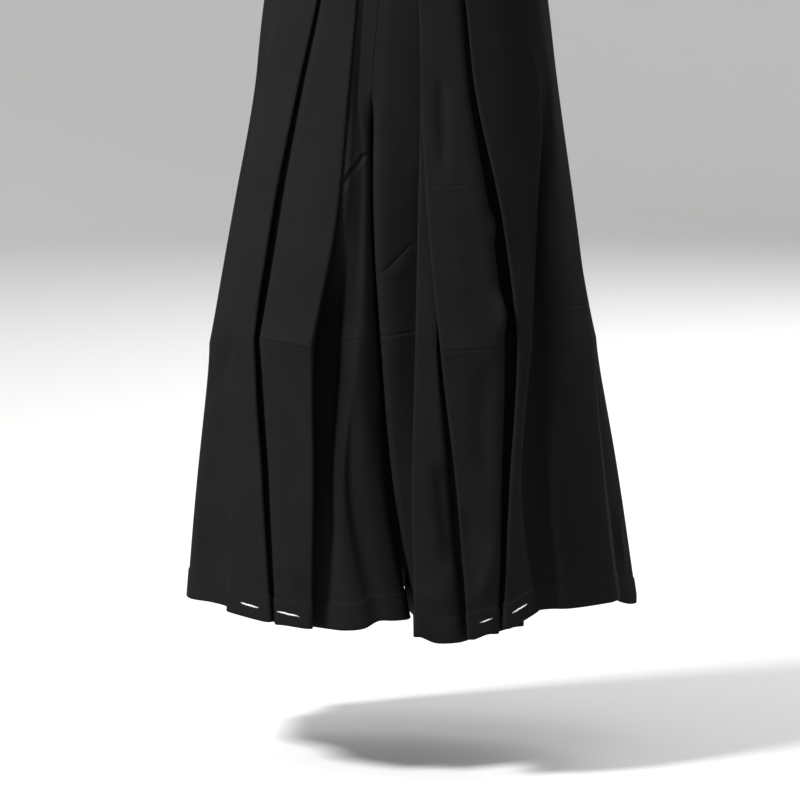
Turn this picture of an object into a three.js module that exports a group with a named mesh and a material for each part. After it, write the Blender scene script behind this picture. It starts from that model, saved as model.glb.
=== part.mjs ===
import * as THREE from 'three';

// Wide-leg skirt pants as they are worn: two pleated fronts, two backs, a lapped waistband and its button.
// Waist and hems are open. Millimetres, +Z up, the front faces -Y, and +X is the wearer's left.
// The origin is the middle of the waist's top edge.

// Driving dimensions
const WALL = 1.2; // one layer of cloth
const SEAM = 0.3; // gap between two pieces that are sewn together
const BAND_DEPTH = 40;
const BAND_WALL = 2.6; // folded double
const BAND_CLEARANCE = 0.5; // between the band and the panels it covers
const BAND_LAP = 36; // how far the left end of the band laps over the right one
const LAP_GAP = 0.4;
const BUTTON_RADIUS = 8.5;
const BUTTON_THICK = 3;
const BUTTON_RISE = 2; // its lower edge, above the panels' top edges
const SEAM_ALLOWANCE = 10; // the panels' top edges, behind the band
const PANEL_TOP = -(BAND_DEPTH - SEAM_ALLOWANCE);
// The seam between the legs sinks into a fold, forks off the surface and runs between the legs to the crotch
const FRONT_FOLD = -295;
const FRONT_FORK = -372;
const BACK_FOLD = -230;
const BACK_FORK = -335;
const CROTCH = -430;
const CROTCH_CURVE = 1.6;
const ROUNDNESS = 2.3; // exponent of the superellipse that every level of the garment follows
const ROWS = { top: 6, fold: 5, fork: 5, leg: 13 }; // down to the fold, the fork, the crotch and the hem

const OUTLINE_STEPS = 96;
const BAND_STEPS = 72;
const BUTTON_SIDES = 20;
const SHARPEST_BEND = 0.55; // cosine of half the sharpest turn that the wall's thickness follows in full

// Heights of the table columns below
const STATIONS = { waist: -30, seat: -200, hip: -300, thigh: -450, knee: -600, calf: -760, hem: -920 };

// Outline of the garment: half widths on the wearer's right and left, reach to the front and to the back
const OUTLINE = {
  right: { waist: 148, seat: 171, hip: 182, thigh: 209, knee: 231, calf: 251, hem: 267 },
  left: { waist: 148, seat: 171, hip: 184, thigh: 207, knee: 230, calf: 257, hem: 281 },
  front: { waist: 110, seat: 128, hip: 144, thigh: 176, knee: 206, calf: 231, hem: 253 },
  back: { waist: 105, seat: 130, hip: 140, thigh: 158, knee: 176, calf: 190, hem: 202 },
};

// A pleat: where its folded edge lies across the front, how far that edge lies behind the outline, how far
// the next layer drops behind it, how far the tuck reaches under, and the height of its lower end
const RIGHT_PLEATS = {
  outer: {
    edge: { waist: 62, seat: 92, hip: 114, thigh: 142, knee: 157, calf: 144, hem: 129 },
    face: { waist: 0, seat: 0, hip: 0, thigh: 0, knee: 0, calf: 0, hem: 0 },
    drop: { waist: 3.6, seat: 7, hip: 8.5, thigh: 13, knee: 15, calf: 15, hem: 12 },
    tuck: { waist: 18, seat: 24, hip: 30, thigh: 32, knee: 32, calf: 32, hem: 30 },
    hemline: -917,
  },
  inner: {
    edge: { waist: 33, seat: 42, hip: 49, thigh: 59, knee: 81, calf: 79, hem: 78 },
    face: { waist: 0, seat: 0, hip: 0, thigh: 0, knee: 0, calf: 0, hem: 0 },
    drop: { waist: 3.6, seat: 5, hip: 7, thigh: 14, knee: 54, calf: 38, hem: 22 },
    tuck: { waist: 15, seat: 24, hip: 30, thigh: 34, knee: 34, calf: 30, hem: 26 },
    hemline: -921,
  },
};
const LEFT_PLEATS = {
  outer: {
    edge: { waist: 66, seat: 88, hip: 101, thigh: 136, knee: 155, calf: 151, hem: 147 },
    face: { waist: 0, seat: 0, hip: 0, thigh: 0, knee: 0, calf: 0, hem: 0 },
    drop: { waist: 3.6, seat: 9, hip: 14, thigh: 28, knee: 31, calf: 24, hem: 15 },
    tuck: { waist: 18, seat: 30, hip: 38, thigh: 40, knee: 38, calf: 34, hem: 30 },
    hemline: -919,
  },
  middle: {
    edge: { waist: 27, seat: 34, hip: 38, thigh: 50, knee: 69, calf: 91, hem: 107 },
    face: { waist: 0, seat: 0, hip: 0, thigh: 0, knee: 0, calf: 0, hem: 0 },
    drop: { waist: 3.6, seat: 7, hip: 8, thigh: 12, knee: 16, calf: 18, hem: 14 },
    tuck: { waist: 18, seat: 26, hip: 28, thigh: 30, knee: 30, calf: 24, hem: 16 },
    hemline: -930,
    stripHemline: -934,
  },
  inner: {
    edge: { waist: 23, seat: 33, hip: 37, thigh: 38, knee: 39, calf: 39, hem: 45 },
    face: { waist: 3.6, seat: 6, hip: 8, thigh: 10, knee: 8, calf: 4, hem: 2 },
    drop: { waist: 3.6, seat: 7, hip: 14, thigh: 26, knee: 44, calf: 54, hem: 54 },
    tuck: { waist: 8, seat: 10, hip: 12, thigh: 13, knee: 14, calf: 16, hem: 18 },
    hemline: -927,
  },
};

// A strip between two pleats: the share of its width after which it has come up to that share of its rise
const SHOULDER = { share: 0.3, risen: 0.9 };

// The ridge beside the outer pleat, and behind it a groove towards the side seam: how deep and how wide it is
const RIGHT_SIDE = {
  ridge: { waist: 96, seat: 138, hip: 166, thigh: 186, knee: 184, calf: 183, hem: 186 },
  deep: { waist: 0, seat: 3, hip: 8, thigh: 14, knee: 19, calf: 22, hem: 20 },
  groove: { waist: 20, seat: 34, hip: 44, thigh: 62, knee: 74, calf: 84, hem: 84 },
  hemline: -911,
};
const LEFT_SIDE = {
  ridge: { waist: 100, seat: 144, hip: 170, thigh: 171, knee: 169, calf: 164, hem: 186 },
  deep: { waist: 0, seat: 0, hip: 3, thigh: 24, knee: 28, calf: 22, hem: 10 },
  groove: { waist: 14, seat: 18, hip: 20, thigh: 22, knee: 34, calf: 38, hem: 34 },
  hemline: -902,
};

// Side seams, as their distance in front of the widest line, and the height of their lower ends
const SIDE_SEAMS = {
  right: { waist: 0, seat: -4, hip: -8, thigh: -12, knee: -16, calf: -20, hem: -24 },
  left: { waist: 0, seat: 4, hip: 8, thigh: 20, knee: 43, calf: 82, hem: 99 },
};
const SEAM_FLAT = 6; // level cloth beside each side seam
const SIDE_HEMLINE = { right: -916, left: -905 };

// Radius of a folded edge: pressed flat at the waist, softer further down
const FOLD_RADIUS = { waist: 0.95, seat: 1.4, hip: 1.9, thigh: 2.3, knee: 2.3, calf: 2.3, hem: 2.3 };

// The front seam down to the fork, and below it the line where the two legs part
const PARTING = { waist: -6, seat: -16, hip: -22, thigh: -19, knee: -9, calf: 6, hem: 38 };
const PARTING_DEPTH = { waist: 3.6, seat: 7, hip: 12, thigh: 12, knee: 12, calf: 12, hem: 12 }; // flat seam
// The right leg's last strip, by its share of the way from the inner pleat to the parting line
const RIGHT_STRIP = [
  {
    share: 0.22,
    depth: { waist: 3.6, seat: 4, hip: 5, thigh: 9, knee: 50, calf: 34, hem: 18 },
    hemline: -923,
  },
  {
    share: 0.5,
    depth: { waist: 3.6, seat: 5.5, hip: 8, thigh: 14, knee: 32, calf: 22, hem: 12 },
    hemline: -923,
  },
  {
    share: 0.78,
    depth: { waist: 3.6, seat: 6.5, hip: 11, thigh: 19, knee: 32, calf: 26, hem: 17 },
    hemline: -921,
  },
];
// The fold between the legs, once opened: the width and depth over which the right leg's cloth turns back,
// and the depth of the left leg's cloth beside it
const CORNER_WIDTH = { waist: 9, seat: 9, hip: 8, thigh: 8, knee: 20, calf: 46, hem: 38 };
const CORNER_DEPTH = { waist: 20, seat: 20, hip: 22, thigh: 30, knee: 50, calf: 54, hem: 46 };
const SLOT_DEPTH = { waist: 4, seat: 7, hip: 10, thigh: 17, knee: 38, calf: 56, hem: 58 };
const RIGHT_CORNER_HEMLINE = -914;
const LEFT_CORNER_HEMLINE = -918;
const INSEAM_HEMLINE = -912;
const INSEAM_SPREAD = 10; // inseams, each side of the middle
const INSEAM_SPREAD_BY = 60; // reached that far below the crotch
const BACK_HEMLINE = -930;
const FLUTES = 3; // soft waves across each back
const FLUTES_END = 60; // level cloth beside the middle of the back
const FLUTE_DEPTH = { waist: 0, seat: 1, hip: 4, thigh: 9, knee: 12, calf: 15, hem: 18 };

const mix = (a, b, t) => a + (b - a) * t;
const ease = (t) => THREE.MathUtils.smoothstep(t, 0, 1);

// Value of a table row at height z: a smooth curve through its stations
function at(row, z) {
  const names = Object.keys(STATIONS);
  const heights = names.map((name) => STATIONS[name]);
  const last = names.length - 2;
  const i = Math.min(Math.max(heights.findIndex((h) => h < z) - 1, z < heights[last] ? last : 0), last);
  const value = (k) => row[names[Math.min(Math.max(k, 0), last + 1)]];
  const height = (k) => heights[Math.min(Math.max(k, 0), last + 1)];
  const slope = (k) => (value(k + 1) - value(k - 1)) / (height(k + 1) - height(k - 1));
  const span = heights[i + 1] - heights[i];
  const t = THREE.MathUtils.clamp((z - heights[i]) / span, 0, 1);
  const t2 = t * t;
  const t3 = t2 * t;
  return (
    value(i) * (2 * t3 - 3 * t2 + 1) +
    value(i + 1) * (3 * t2 - 2 * t3) +
    span * (slope(i) * (t3 - 2 * t2 + t) + slope(i + 1) * (t3 - t2))
  );
}

// Half of the garment's outline at height z, from the middle of the front round the side to the middle of the
// back, measured along the cloth. side is -1 for the wearer's right and +1 for the left.
class HalfOutline {
  constructor(side, z) {
    this.side = side;
    this.half = at(side < 0 ? OUTLINE.right : OUTLINE.left, z);
    this.front = at(OUTLINE.front, z);
    this.back = at(OUTLINE.back, z);
    this.points = [];
    this.lengths = [0];
    for (let i = 0; i <= OUTLINE_STEPS; i++) {
      const angle = (Math.PI * i) / OUTLINE_STEPS;
      const across = this.half * Math.abs(Math.sin(angle)) ** (2 / ROUNDNESS);
      const along = Math.abs(Math.cos(angle)) ** (2 / ROUNDNESS);
      const y = angle < Math.PI / 2 ? -this.front * along : this.back * along;
      this.points.push(new THREE.Vector2(side * across, y));
      if (i > 0) this.lengths.push(this.lengths[i - 1] + this.points[i].distanceTo(this.points[i - 1]));
    }
    this.total = this.lengths[OUTLINE_STEPS];
  }

  // Distance along the cloth to an angle of the superellipse
  toAngle(angle) {
    const place = (angle / Math.PI) * OUTLINE_STEPS;
    const i = Math.min(Math.floor(place), OUTLINE_STEPS - 1);
    return mix(this.lengths[i], this.lengths[i + 1], place - i);
  }

  // Distance along the cloth to where the front reaches that far across
  toWidth(across) {
    return this.toAngle(Math.asin(Math.min(across / this.half, 1) ** (ROUNDNESS / 2)));
  }

  // Distance along the cloth to where it lies that far in front of the widest line
  toForward(forward) {
    if (forward >= 0) return this.toAngle(Math.acos((forward / this.front) ** (ROUNDNESS / 2)));
    return this.toAngle(Math.PI / 2 + Math.asin((-forward / this.back) ** (ROUNDNESS / 2)));
  }

  // Direction of the cloth at sample k
  tangent(k) {
    if (k === 0) return new THREE.Vector2(this.side, 0);
    if (k === OUTLINE_STEPS) return new THREE.Vector2(-this.side, 0);
    return this.points[k + 1].clone().sub(this.points[k - 1]).normalize();
  }

  // The point that far along the cloth and that deep behind the outline
  place(along, depth) {
    if (along <= 0) return new THREE.Vector2(this.side * along, -this.front + depth);
    const beyond = this.lengths.findIndex((length) => length > along);
    const i = beyond < 0 ? OUTLINE_STEPS - 1 : beyond - 1;
    const t = (along - this.lengths[i]) / (this.lengths[i + 1] - this.lengths[i]);
    const direction = this.tangent(i).lerp(this.tangent(i + 1), t).normalize();
    const inward = new THREE.Vector2(-direction.y, direction.x).multiplyScalar(this.side);
    return this.points[i].clone().lerp(this.points[i + 1], t).addScaledVector(inward, depth);
  }
}

// A column of a panel: a point in the level's plane and the height of the hem below it
const column = (point, hemline) => ({ point, hemline });

// Depth of the layer that comes out from under a pleat: at least two folded edges' thickness behind its face
const bottomDepth = (pleat, z) => at(pleat.face, z) + Math.max(at(pleat.drop, z), 4 * at(FOLD_RADIUS, z));

// One knife pleat, from the outer layer round its folded edge, under to the end of the tuck and out again
function pleatColumns(outline, z, pleat) {
  const radius = at(FOLD_RADIUS, z);
  const edge = outline.toWidth(at(pleat.edge, z));
  const face = at(pleat.face, z);
  const bottom = bottomDepth(pleat, z);
  const tuck = at(pleat.tuck, z);
  const path = [
    [edge + 3 * radius, face],
    [edge, face + radius],
    [edge + 3 * radius, face + 2 * radius],
    [edge + tuck - 2 * radius, bottom - 2 * radius],
    [edge + tuck, bottom - radius],
    [edge + tuck - 2 * radius, bottom],
  ];
  return path.map(([along, depth]) => column(outline.place(along, depth), pleat.hemline));
}

// The strip between one pleat and the next: deep where it comes out from under the first, level over the tuck
// of the second
function stripColumns(outline, z, from, to) {
  const radius = at(FOLD_RADIUS, z);
  const rise = outline.toWidth(at(to.edge, z)) + at(to.tuck, z) + 3 * radius;
  const start = Math.max(outline.toWidth(at(from.edge, z)) - radius, rise + 3 * radius);
  const middle = from.stripHemline ?? mix(from.hemline, to.hemline, 0.5);
  const bottom = bottomDepth(from, z);
  const face = at(to.face, z);
  return [
    column(outline.place(start, bottom), middle),
    column(outline.place(mix(start, rise, SHOULDER.share), mix(bottom, face, SHOULDER.risen)), middle),
    column(outline.place(rise, face), middle),
  ];
}

// From the side seam to the outer pleat: level cloth, a groove with a steep side, a ridge and the first strip
function sideColumns(outline, z, seam, side, pleat, seamHemline) {
  const ridge = outline.toWidth(at(side.ridge, z));
  const groove = at(side.groove, z);
  const deep = at(side.deep, z);
  const edge = outline.toWidth(at(pleat.edge, z));
  const rise = mix(edge + 3 * at(FOLD_RADIUS, z), ridge, 0.5);
  return [
    column(outline.place(seam, 0), seamHemline),
    column(outline.place(seam - SEAM_FLAT, 0), seamHemline),
    column(outline.place(ridge + 1.25 * groove, deep * 0.06), side.hemline),
    column(outline.place(ridge + 0.85 * groove, deep * 0.85), side.hemline),
    column(outline.place(ridge + 0.35 * groove, deep), side.hemline),
    column(outline.place(ridge + 0.07 * groove, deep * 0.35), side.hemline),
    column(outline.place(ridge, 0), side.hemline),
    column(outline.place(rise, at(pleat.face, z)), mix(side.hemline, pleat.hemline, 0.5)),
  ];
}

// How far the fold between the legs has opened at height z, from 0 to 1 at the fork
const opened = (z, fold, fork) => ease((fold - z) / (fold - fork));

// How far the seam between the legs has run from its fork to the crotch at height z
function travelled(z, fork) {
  const down = THREE.MathUtils.clamp((fork - z) / (fork - CROTCH), 0, 1);
  return 1 - Math.sqrt(1 - down ** CROTCH_CURVE);
}

// Half the room between the two legs' inner walls, measured to the middle of each wall
const halfRoom = (z, share) =>
  SEAM / 2 + (WALL / 2) * Math.min(8 * share, 1) + INSEAM_SPREAD * ease((CROTCH - z) / INSEAM_SPREAD_BY);

// The inner end of a panel. Flat, its columns lie along the surface up to the seam. Opened, they go round the
// leg's inner corner, and the seam's column follows the fork to the crotch and then the inseam down.
function innerColumns(flat, corner, end, share, hemline) {
  const points = flat.map((point, i) => point.clone().lerp(corner[i], share));
  const last = points[points.length - 1];
  const wallMiddle = new THREE.Vector2(mix(last.x, end.x, 0.5 + 0.15 * share), mix(last.y, end.y, 0.5));
  return [
    ...points.map((point) => column(point, hemline)),
    column(wallMiddle, mix(hemline, INSEAM_HEMLINE, 0.5)),
    column(end, INSEAM_HEMLINE),
  ];
}

// The fold between the legs. Its columns lie that far beside the seam while the front is flat. Below the
// fork, the right leg's lie at shares of its corner's width and depth, and the left leg's lie that far to the
// wearer's left of the parting line and that far behind the slot's depth
const FRONT_INNER = [
  { flat: 15, right: { across: 1, deep: 0.66 }, left: { left: 16, behind: 2 } },
  { flat: 11, right: { across: 0.55, deep: 0.76 }, left: { left: 8, behind: 1 } },
  { flat: 7, right: { across: 0.2, deep: 0.96 }, left: { left: 3, behind: 5 } },
  { flat: 3.5, right: { across: 0.14, deep: 1.22 }, left: { left: 2, behind: 14 } },
];
const FRONT_SEAM = { left: 0, behind: 54 };

function frontEnd(side, outline, z) {
  const share = opened(z, FRONT_FOLD, FRONT_FORK);
  const travel = travelled(z, FRONT_FORK);
  const from = ({ left, behind }) => new THREE.Vector2(at(PARTING, z) + left, behind - outline.front);
  const behind = at(PARTING_DEPTH, z);
  const surfaceSeam = from({ left: 0, behind });
  const seam = surfaceSeam.lerp(from(FRONT_SEAM), share).lerp(new THREE.Vector2(0, -SEAM / 2), travel);
  seam.x += side * halfRoom(z, share);
  const flat = FRONT_INNER.map((row) => from({ left: side * row.flat, behind }));
  const width = at(CORNER_WIDTH, z);
  const depth = at(CORNER_DEPTH, z);
  const corner = FRONT_INNER.map(({ right, left }) =>
    side < 0
      ? from({ left: -right.across * width, behind: right.deep * depth })
      : from({ left: left.left, behind: at(SLOT_DEPTH, z) + left.behind }),
  );
  return innerColumns(flat, corner, seam, share, side < 0 ? RIGHT_CORNER_HEMLINE : LEFT_CORNER_HEMLINE);
}

// The same fold between the backs, which is alike on both sides
const BACK_INNER = [
  { flat: 46, corner: { aside: 44, deep: 2 } },
  { flat: 28, corner: { aside: 20, deep: 7 } },
  { flat: 14, corner: { aside: 11, deep: 20 } },
  { flat: 6, corner: { aside: 7, deep: 38 } },
];
const BACK_SEAM_DEPTH = 52;

function backEnd(side, outline, z) {
  const share = opened(z, BACK_FOLD, BACK_FORK);
  const travel = travelled(z, BACK_FORK);
  const from = ({ aside, deep }) => new THREE.Vector2(side * aside, outline.back - deep);
  const foldSeam = from({ aside: 0, deep: BACK_SEAM_DEPTH * share });
  const seam = foldSeam.lerp(new THREE.Vector2(0, SEAM / 2), travel);
  seam.x += side * halfRoom(z, share);
  const flat = BACK_INNER.map((row) => outline.place(outline.total - row.flat, 0));
  const corner = BACK_INNER.map((row) => from(row.corner));
  return innerColumns(flat, corner, seam, share, BACK_HEMLINE);
}

function rightFront(z) {
  const outline = new HalfOutline(-1, z);
  const { outer, inner } = RIGHT_PLEATS;
  const seam = outline.toForward(at(SIDE_SEAMS.right, z)) - SEAM / 2;
  const edge = outline.toWidth(at(inner.edge, z));
  const turning = mix(FRONT_INNER[0].flat, at(CORNER_WIDTH, z), opened(z, FRONT_FOLD, FRONT_FORK));
  const corner = turning - at(PARTING, z);
  return [
    ...sideColumns(outline, z, seam, RIGHT_SIDE, outer, SIDE_HEMLINE.right),
    ...pleatColumns(outline, z, outer),
    ...stripColumns(outline, z, outer, inner),
    ...pleatColumns(outline, z, inner),
    ...RIGHT_STRIP.map(({ share, depth, hemline }) =>
      column(outline.place(mix(edge, corner, share), at(depth, z)), hemline),
    ),
    ...frontEnd(-1, outline, z),
  ];
}

function leftFront(z) {
  const outline = new HalfOutline(1, z);
  const { outer, middle, inner } = LEFT_PLEATS;
  const seam = outline.toForward(at(SIDE_SEAMS.left, z)) - SEAM / 2;
  return [
    ...sideColumns(outline, z, seam, LEFT_SIDE, outer, SIDE_HEMLINE.left),
    ...pleatColumns(outline, z, outer),
    ...stripColumns(outline, z, outer, middle),
    ...pleatColumns(outline, z, middle),
    ...stripColumns(outline, z, middle, inner),
    ...pleatColumns(outline, z, inner),
    ...frontEnd(1, outline, z),
  ];
}

// A back: plain cloth that hangs in soft flutes
function back(side, z) {
  const outline = new HalfOutline(side, z);
  const sideName = side < 0 ? 'right' : 'left';
  const seam = outline.toForward(at(SIDE_SEAMS[sideName], z)) + SEAM / 2;
  const inner = outline.total - FLUTES_END;
  const steps = 4 * FLUTES;
  const columns = [column(outline.place(seam, 0), SIDE_HEMLINE[sideName])];
  for (let i = 0; i <= steps; i++) {
    const t = i / steps;
    const wave = 0.5 - 0.5 * Math.cos(2 * Math.PI * FLUTES * t);
    const hemline = mix(SIDE_HEMLINE[sideName], BACK_HEMLINE, ease(t * FLUTES));
    columns.push(column(outline.place(mix(seam + SEAM_FLAT, inner, t), at(FLUTE_DEPTH, z) * wave), hemline));
  }
  return [...columns, ...backEnd(side, outline, z)];
}

// Heights of the rows of one column, down to its own hem
function rowHeights(fold, fork, hemline) {
  const levels = [PANEL_TOP, fold, fork, CROTCH, hemline];
  const heights = [PANEL_TOP];
  Object.values(ROWS).forEach((count, k) => {
    for (let row = 1; row <= count; row++) heights.push(mix(levels[k], levels[k + 1], row / count));
  });
  return heights;
}

// A closed wall along rows of points: each row is moved half the wall's thickness to both sides
function wall(rows, thickness) {
  const count = rows[0].length;
  const positions = [];
  for (const row of rows) {
    row.forEach((point, i) => {
      const before = row[Math.max(i - 1, 0)];
      const after = row[Math.min(i + 1, count - 1)];
      const into = new THREE.Vector2(point.x - before.x, point.y - before.y).normalize();
      const out = new THREE.Vector2(after.x - point.x, after.y - point.y).normalize();
      const tangent = into.clone().add(out).normalize();
      const bend = Math.max(tangent.dot(into.lengthSq() > 0 ? into : out), SHARPEST_BEND);
      const reach = thickness / 2 / bend;
      positions.push(point.x - tangent.y * reach, point.y + tangent.x * reach, point.z);
      positions.push(point.x + tangent.y * reach, point.y - tangent.x * reach, point.z);
    });
  }
  const vertex = (r, i, side) => 2 * (r * count + i) + side;
  const index = [];
  const quad = (a, b, c, d) => index.push(a, b, c, a, c, d);
  const last = rows.length - 1;
  const end = count - 1;
  for (let i = 0; i < end; i++) {
    for (let r = 0; r < last; r++) {
      quad(vertex(r, i, 0), vertex(r + 1, i, 0), vertex(r + 1, i + 1, 0), vertex(r, i + 1, 0));
      quad(vertex(r, i, 1), vertex(r, i + 1, 1), vertex(r + 1, i + 1, 1), vertex(r + 1, i, 1));
    }
    quad(vertex(0, i, 0), vertex(0, i + 1, 0), vertex(0, i + 1, 1), vertex(0, i, 1));
    quad(vertex(last, i, 0), vertex(last, i, 1), vertex(last, i + 1, 1), vertex(last, i + 1, 0));
  }
  for (let r = 0; r < last; r++) {
    quad(vertex(r, 0, 0), vertex(r, 0, 1), vertex(r + 1, 0, 1), vertex(r + 1, 0, 0));
    quad(vertex(r, end, 0), vertex(r + 1, end, 0), vertex(r + 1, end, 1), vertex(r, end, 1));
  }
  const geometry = new THREE.BufferGeometry();
  geometry.setAttribute('position', new THREE.Float32BufferAttribute(positions, 3));
  geometry.setIndex(index);
  if (volume(geometry) < 0) geometry.setIndex([...index].reverse());
  geometry.computeVertexNormals();
  return geometry;
}

// Signed volume inside a closed mesh, which is negative where its faces point inwards
function volume(geometry) {
  const [a, b, c] = [0, 1, 2].map(() => new THREE.Vector3());
  const { position } = geometry.attributes;
  let sum = 0;
  for (let i = 0; i < geometry.index.count; i += 3) {
    [a, b, c].forEach((corner, k) => corner.fromBufferAttribute(position, geometry.index.getX(i + k)));
    sum += a.dot(b.cross(c)) / 6;
  }
  return sum;
}

// A panel from its section, which gives a level's columns from the side seam to the inner end
function panelGeometry(section, fold, fork) {
  const heights = section(PANEL_TOP).map(({ hemline }) => rowHeights(fold, fork, hemline));
  const rows = heights[0].map((_, row) =>
    heights.map((column, i) => {
      const z = column[row];
      const { point } = section(z)[i];
      return new THREE.Vector3(point.x, point.y, z);
    }),
  );
  return wall(rows, WALL);
}

// Middle of the band's wall, outside the middle of the panels' walls
const BAND_OUTSIDE = WALL / 2 + BAND_CLEARANCE + BAND_WALL / 2;

// The waistband: one strip round the waist whose left end laps over its right end at the front
function bandGeometry() {
  const lift = BAND_WALL + LAP_GAP;
  const rows = [0, PANEL_TOP, -BAND_DEPTH].map((z) => {
    const [right, left] = [new HalfOutline(-1, z), new HalfOutline(1, z)];
    const seam = at(PARTING, z);
    const length = right.total + left.total;
    const points = [];
    for (let i = 0; i <= BAND_STEPS; i++) {
      const along = mix(-seam - BAND_LAP / 2, length - seam + BAND_LAP / 2, i / BAND_STEPS);
      const home = length - along;
      const lapStart = length + seam - 2.5 * BAND_LAP;
      const depth = -BAND_OUTSIDE - lift * ease((along - lapStart) / BAND_LAP);
      const flat = along <= right.total ? right.place(along, depth) : left.place(home, depth);
      points.push(new THREE.Vector3(flat.x, flat.y, z));
    }
    return points;
  });
  return wall(rows, BAND_WALL);
}

function buttonGeometry() {
  const profile = [
    [0, 0],
    [BUTTON_RADIUS - 1, 0],
    [BUTTON_RADIUS, 1],
    [BUTTON_RADIUS, BUTTON_THICK - 0.6],
    [BUTTON_RADIUS - 0.8, BUTTON_THICK],
    [BUTTON_RADIUS - 2.6, BUTTON_THICK - 0.7],
    [0, BUTTON_THICK - 0.7],
  ].map(([x, y]) => new THREE.Vector2(x, y));
  return new THREE.LatheGeometry(profile, BUTTON_SIDES);
}

const cloth = () => new THREE.MeshStandardMaterial({ color: 0x17181a, roughness: 0.9, metalness: 0 });
const horn = () => new THREE.MeshStandardMaterial({ color: 0x101010, roughness: 0.4, metalness: 0 });

function named(name, geometry, material) {
  const mesh = new THREE.Mesh(geometry, material);
  mesh.name = name;
  return mesh;
}

const pants = new THREE.Group();
pants.add(named('front_right', panelGeometry(rightFront, FRONT_FOLD, FRONT_FORK), cloth()));
pants.add(named('front_left', panelGeometry(leftFront, FRONT_FOLD, FRONT_FORK), cloth()));
pants.add(named('back_right', panelGeometry((z) => back(-1, z), BACK_FOLD, BACK_FORK), cloth()));
pants.add(named('back_left', panelGeometry((z) => back(1, z), BACK_FOLD, BACK_FORK), cloth()));
pants.add(named('waistband', bandGeometry(), cloth()));

const button = named('waist_button', buttonGeometry(), horn());
const lapFace = new HalfOutline(-1, 0).front + BAND_OUTSIDE + BAND_WALL + LAP_GAP + BAND_WALL / 2;
button.rotation.x = Math.PI;
button.position.set(at(PARTING, 0), -lapFace - SEAM, PANEL_TOP + BUTTON_RADIUS + BUTTON_RISE);
pants.add(button);

export default pants;
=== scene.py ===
import bpy
import numpy as np
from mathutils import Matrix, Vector


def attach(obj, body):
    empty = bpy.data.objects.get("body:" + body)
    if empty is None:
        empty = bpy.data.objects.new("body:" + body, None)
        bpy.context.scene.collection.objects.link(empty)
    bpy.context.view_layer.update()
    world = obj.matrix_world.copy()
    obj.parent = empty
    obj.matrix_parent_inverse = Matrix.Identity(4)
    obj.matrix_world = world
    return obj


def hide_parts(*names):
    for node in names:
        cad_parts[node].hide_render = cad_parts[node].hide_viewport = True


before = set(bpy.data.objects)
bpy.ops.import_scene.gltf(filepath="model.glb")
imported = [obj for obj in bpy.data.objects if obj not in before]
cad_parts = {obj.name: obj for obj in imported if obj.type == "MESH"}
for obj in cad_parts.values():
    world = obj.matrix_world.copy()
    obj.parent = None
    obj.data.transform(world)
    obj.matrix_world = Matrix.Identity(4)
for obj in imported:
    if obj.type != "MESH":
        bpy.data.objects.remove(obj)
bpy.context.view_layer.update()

# RIGHT FRONT
# The wearer's right front is one length of black worsted twill, laid in two knife pleats that face the
# middle. Its sections follow the panel's own solid, level by level, and a fine grid over them carries the
# folded edges.

STATIONS = np.array([-0.030, -0.200, -0.300, -0.450, -0.600, -0.760, -0.920])  # heights of the table columns
OUTLINE_RIGHT = [0.148, 0.171, 0.182, 0.209, 0.231, 0.251, 0.267]
OUTLINE_LEFT = [0.148, 0.171, 0.184, 0.207, 0.230, 0.257, 0.281]
OUTLINE_FRONT = [0.110, 0.128, 0.144, 0.176, 0.206, 0.231, 0.253]
OUTLINE_BACK = [0.105, 0.130, 0.140, 0.158, 0.176, 0.190, 0.202]
ROUNDNESS = 2.3  # exponent of the superellipse that each level follows
FOLD_RADIUS = [0.00095, 0.0014, 0.0019, 0.0023, 0.0023, 0.0023, 0.0023]
CLOTH = 0.0008  # one layer of the twill
PANEL_TOP, CROTCH = -0.030, -0.430
SEAM_FLAT = 0.006  # level cloth beside a side seam


def at(row, z):
    """Value of a table row at the heights z: a cubic Hermite curve through the stations, where each slope is
    that of the chord between the two neighbouring stations, level beyond both ends."""
    value, height = np.asarray(row, float), STATIONS
    k = np.clip(np.searchsorted(-height, -z, side="right") - 1, 0, len(height) - 2)
    before = np.maximum(np.arange(len(height)) - 1, 0)
    after = np.minimum(np.arange(len(height)) + 1, len(height) - 1)
    slope = (value[after] - value[before]) / (height[after] - height[before])
    span = height[k + 1] - height[k]
    t = np.clip((z - height[k]) / span, 0, 1)
    ends = value[k] * (2 * t**3 - 3 * t**2 + 1) + value[k + 1] * (3 * t**2 - 2 * t**3)
    return ends + span * (slope[k] * (t**3 - 2 * t**2 + t) + slope[k + 1] * (t**3 - t**2))


def ease(t):
    """Smooth step from 0 to 1: 3t^2 - 2t^3."""
    t = np.clip(t, 0, 1)
    return t * t * (3 - 2 * t)


def mix(a, b, t):
    """Straight blend from a to b."""
    return a + (b - a) * t


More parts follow.
